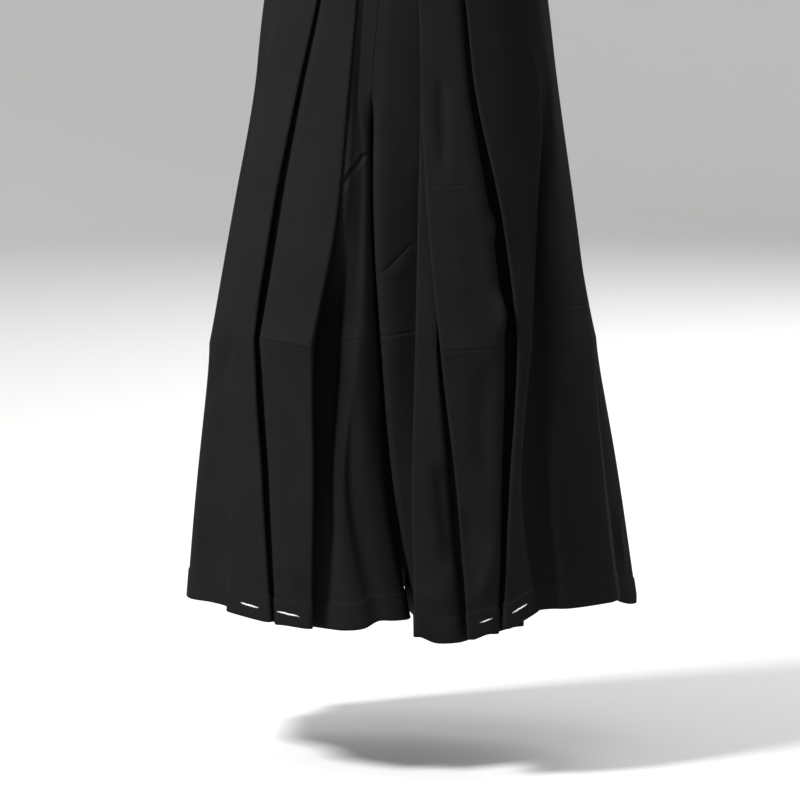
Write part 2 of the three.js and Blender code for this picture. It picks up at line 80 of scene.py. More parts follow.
class HalfOutline:
    """Half of the garment's outline at the heights z, from the middle of the front round the side to the
    middle of the back: a superellipse x = half sin^(2/n) a, y = -+ reach cos^(2/n) a, sampled with its arc
    length."""

    STEPS = 96

    def __init__(self, side, z):
        self.side = side
        self.half = at(OUTLINE_RIGHT if side < 0 else OUTLINE_LEFT, z)
        self.front = at(OUTLINE_FRONT, z)
        self.back = at(OUTLINE_BACK, z)
        angle = np.linspace(0, np.pi, self.STEPS + 1)
        x = side * self.half[:, None] * np.abs(np.sin(angle)) ** (2 / ROUNDNESS)
        reach = np.where(angle < np.pi / 2, -self.front[:, None], self.back[:, None])
        self.points = np.stack([x, reach * np.abs(np.cos(angle)) ** (2 / ROUNDNESS)], -1)
        steps = np.linalg.norm(np.diff(self.points, axis=1), axis=-1)
        self.lengths = np.concatenate([np.zeros((len(z), 1)), np.cumsum(steps, axis=1)], axis=1)
        self.total = self.lengths[:, -1]
        run = np.zeros_like(self.points)
        run[:, 1:-1] = self.points[:, 2:] - self.points[:, :-2]
        run[:, 0, 0], run[:, -1, 0] = side, -side
        self.tangents = run / np.linalg.norm(run, axis=-1, keepdims=True)

    def to_angle(self, angle):
        """Distance along the cloth to an angle of the superellipse."""
        place = angle / np.pi * self.STEPS
        i = np.clip(place.astype(int), 0, self.STEPS - 1)
        row = np.arange(len(i))
        return mix(self.lengths[row, i], self.lengths[row, i + 1], place - i)

    def to_width(self, across):
        """Distance along the cloth to where the front reaches that far across."""
        return self.to_angle(np.arcsin(np.minimum(across / self.half, 1) ** (ROUNDNESS / 2)))

    def to_forward(self, forward):
        """Distance along the cloth to where it lies that far in front of the widest line."""
        ahead = np.arccos(np.maximum(forward / self.front, 0) ** (ROUNDNESS / 2))
        behind = np.pi / 2 + np.arcsin(np.maximum(-forward / self.back, 0) ** (ROUNDNESS / 2))
        return self.to_angle(np.where(forward >= 0, ahead, behind))

    def place(self, along, depth):
        """The point that far along the cloth and that deep behind the outline, one for each height."""
        along = np.broadcast_to(along, self.total.shape)
        depth = np.broadcast_to(depth, self.total.shape)
        i = np.clip((self.lengths <= along[:, None]).sum(1) - 1, 0, self.STEPS - 1)
        row = np.arange(len(i))
        t = ((along - self.lengths[row, i]) / (self.lengths[row, i + 1] - self.lengths[row, i]))[:, None]
        run = mix(self.tangents[row, i], self.tangents[row, i + 1], t)
        run /= np.linalg.norm(run, axis=-1, keepdims=True)
        inward = self.side * np.stack([-run[:, 1], run[:, 0]], -1)
        point = mix(self.points[row, i], self.points[row, i + 1], t) + inward * depth[:, None]
        beyond = np.stack([self.side * along, depth - self.front], -1)
        return np.where(along[:, None] <= 0, beyond, point)


def around_edge(near, radius, face, way):
    """Five points of a folded edge: half a circle that meets the line near, opening way along the cloth."""
    angle = np.radians([-90, -45, 0, 45, 90])
    return [(near + way * radius * (1 - np.cos(a)), face + radius * (1 + np.sin(a))) for a in angle]


def bottom_depth(pleat, z):
    """Depth of the layer that comes out from under a pleat."""
    return at(pleat["face"], z) + np.maximum(at(pleat["drop"], z), 4 * at(FOLD_RADIUS, z))


def pleat_columns(outline, z, pleat):
    """One knife pleat: the outer layer, its folded edge, the way under to the tuck's end, and out again."""
    radius = at(FOLD_RADIUS, z)
    edge = outline.to_width(at(pleat["edge"], z))
    face, bottom = at(pleat["face"], z), bottom_depth(pleat, z)
    end = edge + at(pleat["tuck"], z)
    path = [(edge + 3 * radius, face), *around_edge(edge, radius, face, 1)]
    path += [(edge + 3 * radius, face + 2 * radius)]
    path += [(end - 3 * radius, bottom - 2 * radius), *around_edge(end, radius, bottom - 2 * radius, -1)]
    return [(outline.place(along, depth), pleat["hemline"]) for along, depth in path]


SHOULDER, RISEN = 0.3, 0.9  # after that share of its width, a strip has come up by that share of its rise


def strip_columns(outline, z, first, second):
    """The strip between two pleats: deep where it comes out from under the first, level over the second."""
    radius = at(FOLD_RADIUS, z)
    rise = outline.to_width(at(second["edge"], z)) + at(second["tuck"], z) + 3 * radius
    start = np.maximum(outline.to_width(at(first["edge"], z)) - radius, rise + 3 * radius)
    hemline = first.get("strip_hemline", (first["hemline"] + second["hemline"]) / 2)
    bottom, face = bottom_depth(first, z), at(second["face"], z)
    shoulder = outline.place(mix(start, rise, SHOULDER), mix(bottom, face, RISEN))
    return [(outline.place(start, bottom), hemline), (shoulder, hemline), (outline.place(rise, face), hemline)]


def side_columns(outline, z, seam, shape, pleat, seam_hemline):
    """From the side seam to the outer pleat: level cloth, a groove with a steep side next to the ridge, the
    ridge and the first strip."""
    ridge = outline.to_width(at(shape["ridge"], z))
    groove, deep, hem = at(shape["groove"], z), at(shape["deep"], z), shape["hemline"]
    edge = outline.to_width(at(pleat["edge"], z))
    rise = mix(edge + 3 * at(FOLD_RADIUS, z), ridge, 0.5)
    return [
        (outline.place(seam, 0), seam_hemline),
        (outline.place(seam - SEAM_FLAT, 0), seam_hemline),
        (outline.place(ridge + 1.25 * groove, deep * 0.06), hem),
        (outline.place(ridge + 0.85 * groove, deep * 0.85), hem),
        (outline.place(ridge + 0.35 * groove, deep), hem),
        (outline.place(ridge + 0.07 * groove, deep * 0.35), hem),
        (outline.place(ridge, 0), hem),
        (outline.place(rise, at(pleat["face"], z)), (hem + pleat["hemline"]) / 2),
    ]


SEAM = -0.0002  # room between two sewn pieces, which press into each other
INSEAM_HEMLINE, INSEAM_SPREAD, INSEAM_SPREAD_BY, CROTCH_CURVE = -0.912, 0.010, 0.060, 1.6


def travelled(z, fork):
    """How far the seam between the legs has run from its fork to the crotch: a quarter of a round curve."""
    return 1 - np.sqrt(1 - np.clip((fork - z) / (fork - CROTCH), 0, 1) ** CROTCH_CURVE)


def half_room(z):
    """Half the room between the two legs' inner walls: a seam's width down to the crotch, then more and
    more."""
    return SEAM / 2 + INSEAM_SPREAD * ease((CROTCH - z) / INSEAM_SPREAD_BY)


def inner_columns(side, flat, corner, end, share, hemline):
    """The inner end of a panel: flat along the surface to the seam, or opened round the leg's inner corner,
    from where it soon lies against the other leg's wall."""
    points = [mix(a, b, share[:, None]) for a, b in zip(flat, corner)]
    across = mix(points[-1][:, 0], end[:, 0], 0.5 + 0.42 * share) + side * CLOTH / 2 * share
    halfway = np.stack([across, mix(points[-1][:, 1], end[:, 1], 0.5)], -1)
    return [(p, hemline) for p in points] + [(halfway, (hemline + INSEAM_HEMLINE) / 2), (end, INSEAM_HEMLINE)]


# The front seam down to the fork, and below it the line where the two legs part
PARTING = [-0.006, -0.016, -0.022, -0.019, -0.009, 0.006, 0.038]
PARTING_DEPTH = [0.0036, 0.007, 0.012, 0.012, 0.012, 0.012, 0.012]
FRONT_FOLD, FRONT_FORK = -0.295, -0.372
# The fold between the legs: beside the seam while flat. Once opened, the right leg turns back over its
# corner's width and depth, given here as shares, and the left leg turns back at the slot's depth, close to
# the parting
CORNER_WIDTH = [0.009, 0.009, 0.008, 0.008, 0.020, 0.046, 0.038]
CORNER_DEPTH = [0.020, 0.020, 0.022, 0.030, 0.050, 0.054, 0.046]
SLOT_DEPTH = [0.004, 0.007, 0.010, 0.017, 0.038, 0.056, 0.058]
FRONT_INNER = [
    {"flat": 0.0150, "right": (-1.00, 0.66), "left": (0.016, 0.002)},
    {"flat": 0.0110, "right": (-0.55, 0.76), "left": (0.008, 0.001)},
    {"flat": 0.0070, "right": (-0.20, 0.96), "left": (0.003, 0.005)},
    {"flat": 0.0035, "right": (-0.14, 1.22), "left": (0.002, 0.014)},
]
FRONT_SEAM = (0, 0.054)
CORNER_HEMLINE_RIGHT, CORNER_HEMLINE_LEFT = -0.914, -0.918


def front_end(side, outline, z):
    """The inner end of a front: flat down to the fold, then opened by a smooth share round the leg's
    corner."""
    share = ease((FRONT_FOLD - z) / (FRONT_FOLD - FRONT_FORK))
    travel = travelled(z, FRONT_FORK)[:, None]

    def beside(left, behind):
        return np.stack([at(PARTING, z) + left, behind - outline.front], -1)

    behind = at(PARTING_DEPTH, z)
    seam = mix(mix(beside(0, behind), beside(*FRONT_SEAM), share[:, None]), np.array([0, -SEAM / 2]), travel)
    seam[:, 0] += side * half_room(z)
    flat = [beside(side * row["flat"], behind) for row in FRONT_INNER]
    corner = [beside(row["left"][0], at(SLOT_DEPTH, z) + row["left"][1]) for row in FRONT_INNER]
    if side < 0:
        width, depth = at(CORNER_WIDTH, z), at(CORNER_DEPTH, z)
        corner = [beside(row["right"][0] * width, row["right"][1] * depth) for row in FRONT_INNER]
    hemline = CORNER_HEMLINE_RIGHT if side < 0 else CORNER_HEMLINE_LEFT
    return inner_columns(side, flat, corner, seam, share, hemline)


def smooth_across(rows, spacing, least=2):
    """A finer grid: each row runs through its own points as a centripetal Catmull-Rom curve, whose knots
    lie the square root of the distance apart. Every stretch gets a step per spacing of its longest
    length."""
    first, last = 2 * rows[:, :1] - rows[:, 1:2], 2 * rows[:, -1:] - rows[:, -2:-1]
    p = np.concatenate([first, rows, last], axis=1)
    reach = np.linalg.norm(np.diff(p, axis=1), axis=-1)
    knot = np.sqrt(np.maximum(reach, 1e-7))
    counts = np.maximum(np.ceil(reach[:, 1:-1].max(0) / spacing).astype(int), least)
    made, places = [], []
    for i, count in enumerate(counts):
        before, here, after = knot[:, i, None], knot[:, i + 1, None], knot[:, i + 2, None]
        p0, p1, p2, p3 = (p[:, i + k] for k in range(4))
        out = here * ((p1 - p0) / before - (p2 - p0) / (before + here)) + (p2 - p1)
        into = here * ((p3 - p2) / after - (p3 - p1) / (here + after)) + (p2 - p1)
        t = np.linspace(0, 1, count + 1)[None, : count + (i == len(counts) - 1), None]
        p1, p2, out, into = (a[:, None] for a in (p1, p2, out, into))
        ends = p1 * (2 * t**3 - 3 * t**2 + 1) + p2 * (3 * t**2 - 2 * t**3)
        made.append(ends + out * (t**3 - 2 * t**2 + t) + into * (t**3 - t**2))
        places.append(i + t[0, :, 0])
    return np.concatenate(made, axis=1), np.concatenate(places)


def panel_rows(section, fold, fork, counts):
    """The panel's control grid: a section at each height, and each column ends at its own hem."""
    hems = [hem for _, hem in section(np.array([PANEL_TOP]))]
    columns = []
    for i, hem in enumerate(hems):
        levels = [PANEL_TOP, fold, fork, CROTCH, hem + HEM_ALLOWANCE + 0.006, hem]
        spans = [np.linspace(a, b, n + 1)[1:] for a, b, n in zip(levels, levels[1:], counts)]
        z = np.concatenate([[PANEL_TOP], *spans])
        columns.append(np.column_stack([section(z)[i][0], z]))
    return np.stack(columns, axis=1)


def along_outline(side, grid):
    """Distance round the cloth from the middle of the front, and the outward direction, for every grid point:
    the point is carried out from the garment's middle line to its level's superellipse."""
    shape = grid.shape[:2]
    x, y, z = grid.reshape(-1, 3).T
    half = at(OUTLINE_RIGHT if side < 0 else OUTLINE_LEFT, z)
    reach = np.where(y < 0, at(OUTLINE_FRONT, z), at(OUTLINE_BACK, z))
    across, ahead = (np.abs(x) / half) ** (ROUNDNESS / 2), (np.abs(y) / reach) ** (ROUNDNESS / 2)
    angle = np.arctan2(across, np.where(y < 0, 1, -1) * ahead)
    length = np.empty_like(z)
    for part in np.array_split(np.arange(len(z)), 40):
        length[part] = HalfOutline(side, z[part]).to_angle(angle[part])
    slope = np.stack([x / half**2, y / reach**2, np.zeros_like(z)], -1)
    slope /= np.linalg.norm(slope, axis=-1, keepdims=True) + 1e-9
    return (length * np.where(side * x < 0, -1, 1)).reshape(shape), slope.reshape(*shape, 3)


def crease(along, height, path, width, lean=0.0, power=2.0):
    """A soft fold along a path of points (along, height): exp(-|d / w|^power) of the distance d to the path,
    fading out over 4 cm at both ends. lean makes one side wider and the other narrower."""
    p = np.stack([along, height], -1)
    path = np.asarray(path, float)
    runs = np.linalg.norm(np.diff(path, axis=0), axis=1)
    start = np.concatenate([[0], np.cumsum(runs)])
    best, place, signed = np.full(along.shape, 1e9), np.zeros(along.shape), np.zeros(along.shape)
    for a, b, run, s in zip(path, path[1:], runs, start):
        t = np.clip(((p - a) @ (b - a)) / run**2, 0, 1)
        off = p - (a + t[..., None] * (b - a))
        d = np.linalg.norm(off, axis=-1)
        turn = (b - a)[0] * off[..., 1] - (b - a)[1] * off[..., 0]
        closer = d < best
        best = np.where(closer, d, best)
        place = np.where(closer, (s + t * run) / start[-1], place)
        signed = np.where(closer, np.sign(turn), signed)
    fade = min(0.5, 0.04 / start[-1])
    local = width * (1 + lean * signed)
    return np.exp(-((best / local) ** power)) * ease(np.minimum(place, 1 - place) / fade)


HEM_ALLOWANCE = 0.030  # turned up inside and caught down
SEAM_ALLOWANCE, SEAM_SNIPPED, SEAM_TURN = 0.010, 0.002, 0.0007


def allowance(edge, before, turn, length):
    """Columns past a panel's edge: half a circle inward, then back along the inside for the seam allowance.
    turn is +1 where the inside lies to the left of the way from before to edge, and -1 where it is right."""
    out = edge - before
    out /= np.linalg.norm(out, axis=-1, keepdims=True)
    inside = turn * np.stack([-out[..., 1], out[..., 0]], -1)
    centre = edge - out * (SEAM_TURN + CLOTH / 2)
    angles = np.radians([-90, -30, 30, 90])
    ring = [centre + SEAM_TURN * (out * np.cos(a) + inside * (1 + np.sin(a))) for a in angles]
    return [*ring, centre - out * length[:, None] + inside * 2 * SEAM_TURN]


def with_allowances(grid, side, turn, fold):
    """The control grid with both long edges turned in. The inner edge first moves aside so that its round
    turn touches the middle plane at any angle: r (1 - cos a) - s sin a, with the turn's outer radius r and
    inner one s. Its allowance is snipped short from the fold down to the crotch, so that it can follow the
    curve."""
    way = grid[:, -1, :2] - grid[:, -2, :2]
    toward = np.abs(way[:, 0]) / np.linalg.norm(way, axis=1)
    aside = (SEAM_TURN + CLOTH / 2) * (1 - toward) - SEAM_TURN * np.sqrt(1 - toward**2)
    grid[:, -1, 0] += side * aside
    first = allowance(grid[:, 0, :2], grid[:, 1, :2], -turn, np.full(len(grid), SEAM_ALLOWANCE))
    z = grid[:, -1, 2]
    snipped = ease((fold + 0.02 - z) / 0.02) * ease((z - CROTCH + 0.03) / 0.03)
    last = allowance(grid[:, -1, :2], grid[:, -2, :2], turn, mix(SEAM_ALLOWANCE, SEAM_SNIPPED, snipped))
    flat = np.concatenate([np.stack(first[::-1], 1), grid[:, 1:-1, :2], np.stack(last, 1)], axis=1)
    z = np.concatenate([grid[:, :1, 2:].repeat(5, 1), grid[:, 1:-1, 2:], grid[:, -1:, 2:].repeat(5, 1)], axis=1)
    return np.concatenate([flat, z], axis=2)


def surface_normals(grid):
    """Unit normals of a grid: the cross product of its two directions."""
    down, across = np.gradient(grid, axis=0), np.gradient(grid, axis=1)
    normal = np.cross(across, down)
    return normal / (np.linalg.norm(normal, axis=-1, keepdims=True) + 1e-12)


def cloth_mesh(name, grid, normals, thick, uv, hem_rise, round_cloth):
    """A closed shell round a grid: its outer face, a rounded hem, its inner face set back by thick, and
    both ends sewn shut. The rows form a loop down the outside and up the inside. Each point keeps its rise
    over the hem and its place: the distance round the cloth and the height."""
    rows, columns = grid.shape[:2]
    outer = grid + normals * CLOTH / 2
    inner = grid - normals * (thick - CLOTH / 2)[..., None]
    low = (outer[-1:] + inner[-1:]) / 2 - np.array([0, 0, 0.0006])
    high = (outer[:1] + inner[:1]) / 2 + np.array([0, 0, 0.0003])
    loop = np.concatenate([outer, low, inner[::-1], high])
    loop_uv = np.concatenate([uv, uv[-1:], uv[::-1], uv[:1]])
    loop_rise = np.concatenate([hem_rise, hem_rise[-1:], hem_rise[::-1], hem_rise[:1]])
    kept = np.stack([round_cloth, grid[..., 2], np.zeros_like(round_cloth)], -1)
    loop_place = np.concatenate([kept, kept[-1:], kept[::-1], kept[:1]])
    count = len(loop)
    index = np.arange(count * columns).reshape(count, columns)
    after = np.roll(index, -1, axis=0)
    faces = np.stack([index[:, :-1], after[:, :-1], after[:, 1:], index[:, 1:]], -1).reshape(-1, 4)
    caps = []
    for c, flip in ((0, False), (columns - 1, True)):
        a, b = index[:rows, c], index[rows + 1 : 2 * rows + 1, c][::-1]
        cap = np.stack([a[:-1], b[:-1], b[1:], a[1:]], -1)
        ends = np.array([[a[-1], b[-1], index[rows, c]], [index[-1, c], b[0], a[0]]])
        caps += [cap[:, ::-1] if flip else cap, ends[:, ::-1] if flip else ends]
    polygons = [*faces.tolist(), *[p for part in caps for p in part.tolist()]]
    mesh = bpy.data.meshes.new(name)
    mesh.from_pydata(loop.reshape(-1, 3).tolist(), [], polygons)
    corner = np.empty(len(mesh.loops), np.int32)
    mesh.loops.foreach_get("vertex_index", corner)
    layer = mesh.uv_layers.new(name="weave")
    layer.data.foreach_set("uv", loop_uv.reshape(-1, 2)[corner].astype(np.float32).ravel())
    rise = mesh.attributes.new("hem_rise", "FLOAT", "POINT")
    rise.data.foreach_set("value", loop_rise.reshape(-1).astype(np.float32))
    place = mesh.attributes.new("place", "FLOAT_VECTOR", "POINT")
    place.data.foreach_set("vector", loop_place.astype(np.float32).ravel())
    mesh.polygons.foreach_set("use_smooth", np.ones(len(mesh.polygons), bool))
    mesh.update()
    piece = bpy.data.objects.new(name, mesh)
    bpy.context.scene.collection.objects.link(piece)
    return piece


def signed_volume(mesh):
    """Volume inside a closed mesh, negative where its faces point inwards: a sixth of the summed a . (b x
    c)."""
    mesh.calc_loop_triangles()
    corners = np.empty(len(mesh.loop_triangles) * 3, np.int32)
    mesh.loop_triangles.foreach_get("vertices", corners)
    points = np.empty(len(mesh.vertices) * 3, np.float32)
    mesh.vertices.foreach_get("co", points)
    a, b, c = points.reshape(-1, 3).astype(float)[corners.reshape(-1, 3)].transpose(1, 0, 2)
    return (a * np.cross(b, c)).sum() / 6


ROW_COUNTS = (54, 18, 20, 92, 16)  # down to the fold, the fork, the crotch, the hem's turn-up and the hem


def panel(name, side, turn, section, fold, fork, folds, spacing):
    """One panel of cloth: sections, seam allowances, a fine grid, its creases, then the closed shell. folds
    lists (first column, last column, depth, path, width, lean, power), with the depth outward."""
    grid = with_allowances(panel_rows(section, fold, fork, ROW_COUNTS), side, turn, fold)
    fine, place = smooth_across(grid, spacing)
    hem = fine[-1:, :, 2]
    along, outward = along_outline(side, fine)
    height = fine[..., 2]
    lift = np.zeros(along.shape)
    for first, last, depth, path, width, lean, power in folds:
        layer = ease((place - first) / 1.0 + 1) * ease((last - place) / 1.0 + 1)
        lift += depth * layer * crease(along, height, path, width, lean, power)
    fine = fine + outward * lift[..., None]
    run = np.cumsum(np.linalg.norm(np.diff(fine, axis=1, prepend=fine[:, :1]), axis=-1), axis=1)
    uv = np.stack([run - run[:, run.shape[1] // 2, None], height], -1)
    normals = surface_normals(fine)
    rise = height - hem
    thick = CLOTH * (1 + 1.4 * (1 - ease((rise - HEM_ALLOWANCE + 0.0008) / 0.0016)))
    piece = cloth_mesh(name, fine, normals * turn, thick, uv, rise, side * along)
    if signed_volume(piece.data) < 0:
        piece.data.flip_normals()
    return piece, {"fine": fine, "along": along, "place": place, "normals": normals * turn}


# The right front's own sizes: pleats from the side to the middle, each with its lower end
OUTER_RIGHT = {
    "edge": [0.062, 0.092, 0.114, 0.142, 0.157, 0.144, 0.129],
    "face": [0, 0, 0, 0, 0, 0, 0],
    "drop": [0.0036, 0.007, 0.0085, 0.013, 0.015, 0.015, 0.012],
    "tuck": [0.018, 0.024, 0.030, 0.032, 0.032, 0.032, 0.030],
    "hemline": -0.917,
}
INNER_RIGHT = {
    "edge": [0.033, 0.042, 0.049, 0.059, 0.081, 0.079, 0.078],
    "face": [0, 0, 0, 0, 0, 0, 0],
    "drop": [0.0036, 0.005, 0.007, 0.014, 0.054, 0.038, 0.022],
    "tuck": [0.015, 0.024, 0.030, 0.034, 0.034, 0.030, 0.026],
    "hemline": -0.921,
}
SIDE_RIGHT = {
    "ridge": [0.096, 0.138, 0.166, 0.186, 0.184, 0.183, 0.186],
    "deep": [0, 0.003, 0.008, 0.014, 0.019, 0.022, 0.020],
    "groove": [0.050, 0.042, 0.044, 0.062, 0.074, 0.084, 0.084],
    "hemline": -0.911,
}
STRIP_RIGHT = [  # share of the way from the inner pleat to the parting, depth, hem
    (0.22, [0.0036, 0.0040, 0.005, 0.009, 0.050, 0.034, 0.018], -0.923),
    (0.50, [0.0036, 0.0055, 0.008, 0.014, 0.032, 0.022, 0.012], -0.923),
    (0.78, [0.0036, 0.0065, 0.011, 0.019, 0.032, 0.026, 0.017], -0.921),
]
SIDE_SEAM_RIGHT = [0, -0.004, -0.008, -0.012, -0.016, -0.020, -0.024]  # in front of the widest line
SIDE_HEMLINE_RIGHT = -0.916
# Creases: first and last column, depth, path, width, lean, power. The pants were stored folded across at
# the knee
ALL, RIGHT_SIDE, FIRST_STRIP, SECOND_STRIP, RIGHT_LAST = (0, 99), (7, 11), (7, 15), (24, 31), (38, 46)
FOLDED_RIGHT = [
    (-0.02, -0.588), (0.05, -0.586), (0.10, -0.592), (0.165, -0.590), (0.215, -0.596), (0.285, -0.606),
    (0.36, -0.616), (0.45, -0.612), (0.55, -0.603), (0.66, -0.598), (0.74, -0.600),
]
CREASES_RIGHT = [
    (*ALL, 0.0042, FOLDED_RIGHT, 0.045, 0.3, 1.0),
    (*SECOND_STRIP, 0.0050, FOLDED_RIGHT, 0.040, 0, 1.0),
    (*RIGHT_SIDE, -0.0045, [(0.208, -0.520), (0.243, -0.593), (0.276, -0.640), (0.305, -0.690)], 0.013, 0.3, 2.0),
    (*RIGHT_SIDE, 0.0025, [(0.235, -0.470), (0.262, -0.560), (0.300, -0.625)], 0.016, 0, 2.0),
    (*RIGHT_SIDE, -0.0030, [(0.300, -0.300), (0.285, -0.400), (0.292, -0.500)], 0.020, 0, 2.0),
    (*RIGHT_SIDE, 0.0030, [(0.240, -0.900), (0.250, -0.830), (0.282, -0.760)], 0.018, -0.3, 2.0),
    (*RIGHT_SIDE, -0.0035, [(0.330, -0.880), (0.322, -0.800), (0.334, -0.720)], 0.017, 0, 2.0),
    (*FIRST_STRIP, -0.0012, [(0.130, -0.260), (0.160, -0.400), (0.172, -0.540)], 0.012, 0, 2.0),
    (*FIRST_STRIP, 0.0010, [(0.168, -0.640), (0.176, -0.740), (0.166, -0.850)], 0.010, 0, 2.0),
    (*SECOND_STRIP, -0.0012, [(0.085, -0.270), (0.104, -0.400), (0.126, -0.560)], 0.014, 0, 2.0),
    (*SECOND_STRIP, 0.0009, [(0.080, -0.330), (0.108, -0.352)], 0.007, 0, 1.5),
    (*SECOND_STRIP, -0.0014, [(0.118, -0.640), (0.100, -0.730), (0.112, -0.800)], 0.015, 0, 2.0),
    (*SECOND_STRIP, 0.0034, [(0.118, -0.826), (0.104, -0.850), (0.084, -0.882)], 0.012, 0.2, 2.0),
    (*SECOND_STRIP, -0.0020, [(0.126, -0.852), (0.110, -0.880)], 0.009, 0, 2.0),
    (*RIGHT_LAST, 0.0025, [(0.040, -0.560), (0.034, -0.660), (0.020, -0.760)], 0.012, 0, 2.0),
    (*RIGHT_LAST, -0.0030, [(0.062, -0.640), (0.060, -0.740), (0.066, -0.850)], 0.010, 0, 2.0),
]


def right_front(z):
    """The right front's section, from the side seam to the seam between the legs."""
    outline = HalfOutline(-1, z)
    seam = outline.to_forward(at(SIDE_SEAM_RIGHT, z)) - SEAM / 2
    edge = outline.to_width(at(INNER_RIGHT["edge"], z))
    opened = ease((FRONT_FOLD - z) / (FRONT_FOLD - FRONT_FORK))
    corner = mix(FRONT_INNER[0]["flat"], at(CORNER_WIDTH, z), opened) - at(PARTING, z)
    strip = [(outline.place(mix(edge, corner, share), at(depth, z)), hem) for share, depth, hem in STRIP_RIGHT]
    return [
        *side_columns(outline, z, seam, SIDE_RIGHT, OUTER_RIGHT, SIDE_HEMLINE_RIGHT),
        *pleat_columns(outline, z, OUTER_RIGHT),
        *strip_columns(outline, z, OUTER_RIGHT, INNER_RIGHT),
        *pleat_columns(outline, z, INNER_RIGHT),
        *strip,
        *front_end(-1, outline, z),
    ]




def weave_group():
    """Worsted twill as a shader group: steep diagonal wales, the yarn's own slubs along them, and a soft nap.
    Height goes up on a wale and down between two. Shade follows the wales and picks as painted shade, darker
    between two wales, and adds a cloudy tone that varies at random."""
    group = bpy.data.node_groups.new("worsted twill", "ShaderNodeTree")
    group.interface.new_socket("Weave", in_out="INPUT", socket_type="NodeSocketVector")
    group.interface.new_socket("Wale", in_out="INPUT", socket_type="NodeSocketFloat").default_value = 0.0011
    group.interface.new_socket("Height", in_out="OUTPUT", socket_type="NodeSocketFloat")
    group.interface.new_socket("Shade", in_out="OUTPUT", socket_type="NodeSocketFloat")
    nodes, links = group.nodes, group.links
    start, end = nodes.new("NodeGroupInput"), nodes.new("NodeGroupOutput")

    def maths(kind, a, b=0.0):
        node = nodes.new("ShaderNodeMath")
        node.operation = kind
        for socket, value in zip(node.inputs, (a, b)):
            if isinstance(value, (int, float)):
                socket.default_value = value
            else:
                links.new(value, socket)
        return node.outputs[0]

    def noise(scale, detail, stretch=(1, 1, 1)):
        mapping, node = nodes.new("ShaderNodeMapping"), nodes.new("ShaderNodeTexNoise")
        mapping.inputs["Scale"].default_value = stretch
        links.new(start.outputs["Weave"], mapping.inputs["Vector"])
        links.new(mapping.outputs[0], node.inputs["Vector"])
        node.inputs["Scale"].default_value, node.inputs["Detail"].default_value = scale, detail
        return node.outputs["Fac"]

    parts = nodes.new("ShaderNodeSeparateXYZ")
    links.new(start.outputs["Weave"], parts.inputs[0])
    across = maths("MULTIPLY", parts.outputs["X"], 0.90)  # wales stand 64 degrees steep
    up = maths("MULTIPLY", parts.outputs["Y"], -0.44)
    wobble = maths("MULTIPLY", noise(900, 2), 0.0004)
    phase = maths("DIVIDE", maths("ADD", maths("ADD", across, up), wobble), start.outputs["Wale"])
    wale = maths("SINE", maths("MULTIPLY", phase, 2 * np.pi))
    picks = maths("SINE", maths("MULTIPLY", parts.outputs["Y"], 2 * np.pi / 0.0006))
    slub = noise(1, 3, (700, 90, 1))
    rib = maths("ADD", maths("MULTIPLY", wale, 0.35), maths("MULTIPLY", picks, 0.12))
    links.new(maths("ADD", maths("ADD", rib, maths("MULTIPLY", slub, 0.5)), 0.3), end.inputs["Height"])
    # Shade: the wales and picks again as painted shade, darker between two wales, plus a cloudy tone that varies
    # at random
    cloudy = maths("MULTIPLY", noise(14, 4), 0.6)
    links.new(maths("ADD", maths("MULTIPLY", rib, 0.5), maths("ADD", cloudy, 0.2)), end.inputs["Shade"])
    return group


twill_weave = weave_group()


def crease_group():
    """A pressed crease as a shader group: Height is 1 on the straight line from Start along Way, and falls
    to 0 by a smooth step at Width beside it."""
    group = bpy.data.node_groups.new("pressed crease", "ShaderNodeTree")
    for name in ("Place", "Start", "Way"):
        group.interface.new_socket(name, in_out="INPUT", socket_type="NodeSocketVector")
    group.interface.new_socket("Width", in_out="INPUT", socket_type="NodeSocketFloat").default_value = 0.003
    group.interface.new_socket("Height", in_out="OUTPUT", socket_type="NodeSocketFloat")
    nodes, links = group.nodes, group.links
    start, end = nodes.new("NodeGroupInput"), nodes.new("NodeGroupOutput")

    def vectors(kind, a, b=None, output="Vector"):
        node = nodes.new("ShaderNodeVectorMath")
        node.operation = kind
        links.new(a, node.inputs[0])
        if b is not None:
            links.new(b, node.inputs["Scale" if kind == "SCALE" else 1])
        return node.outputs[output]

    way = start.outputs["Way"]
    beside = vectors("SUBTRACT", start.outputs["Place"], start.outputs["Start"])
    along, length = vectors("DOT_PRODUCT", beside, way, "Value"), vectors("DOT_PRODUCT", way, way, "Value")
    share = nodes.new("ShaderNodeMath")
    share.operation, share.use_clamp = "DIVIDE", True
    links.new(along, share.inputs[0])
    links.new(length, share.inputs[1])
    off = vectors("LENGTH", vectors("SUBTRACT", beside, vectors("SCALE", way, share.outputs[0])), output="Value")
    fall = nodes.new("ShaderNodeMapRange")
    fall.interpolation_type = "SMOOTHSTEP"
    fall.inputs["To Min"].default_value, fall.inputs["To Max"].default_value = 1, 0
    links.new(off, fall.inputs["Value"])
    links.new(start.outputs["Width"], fall.inputs["From Max"])
    links.new(fall.outputs[0], end.inputs["Height"])
    return group


pressed_crease = crease_group()


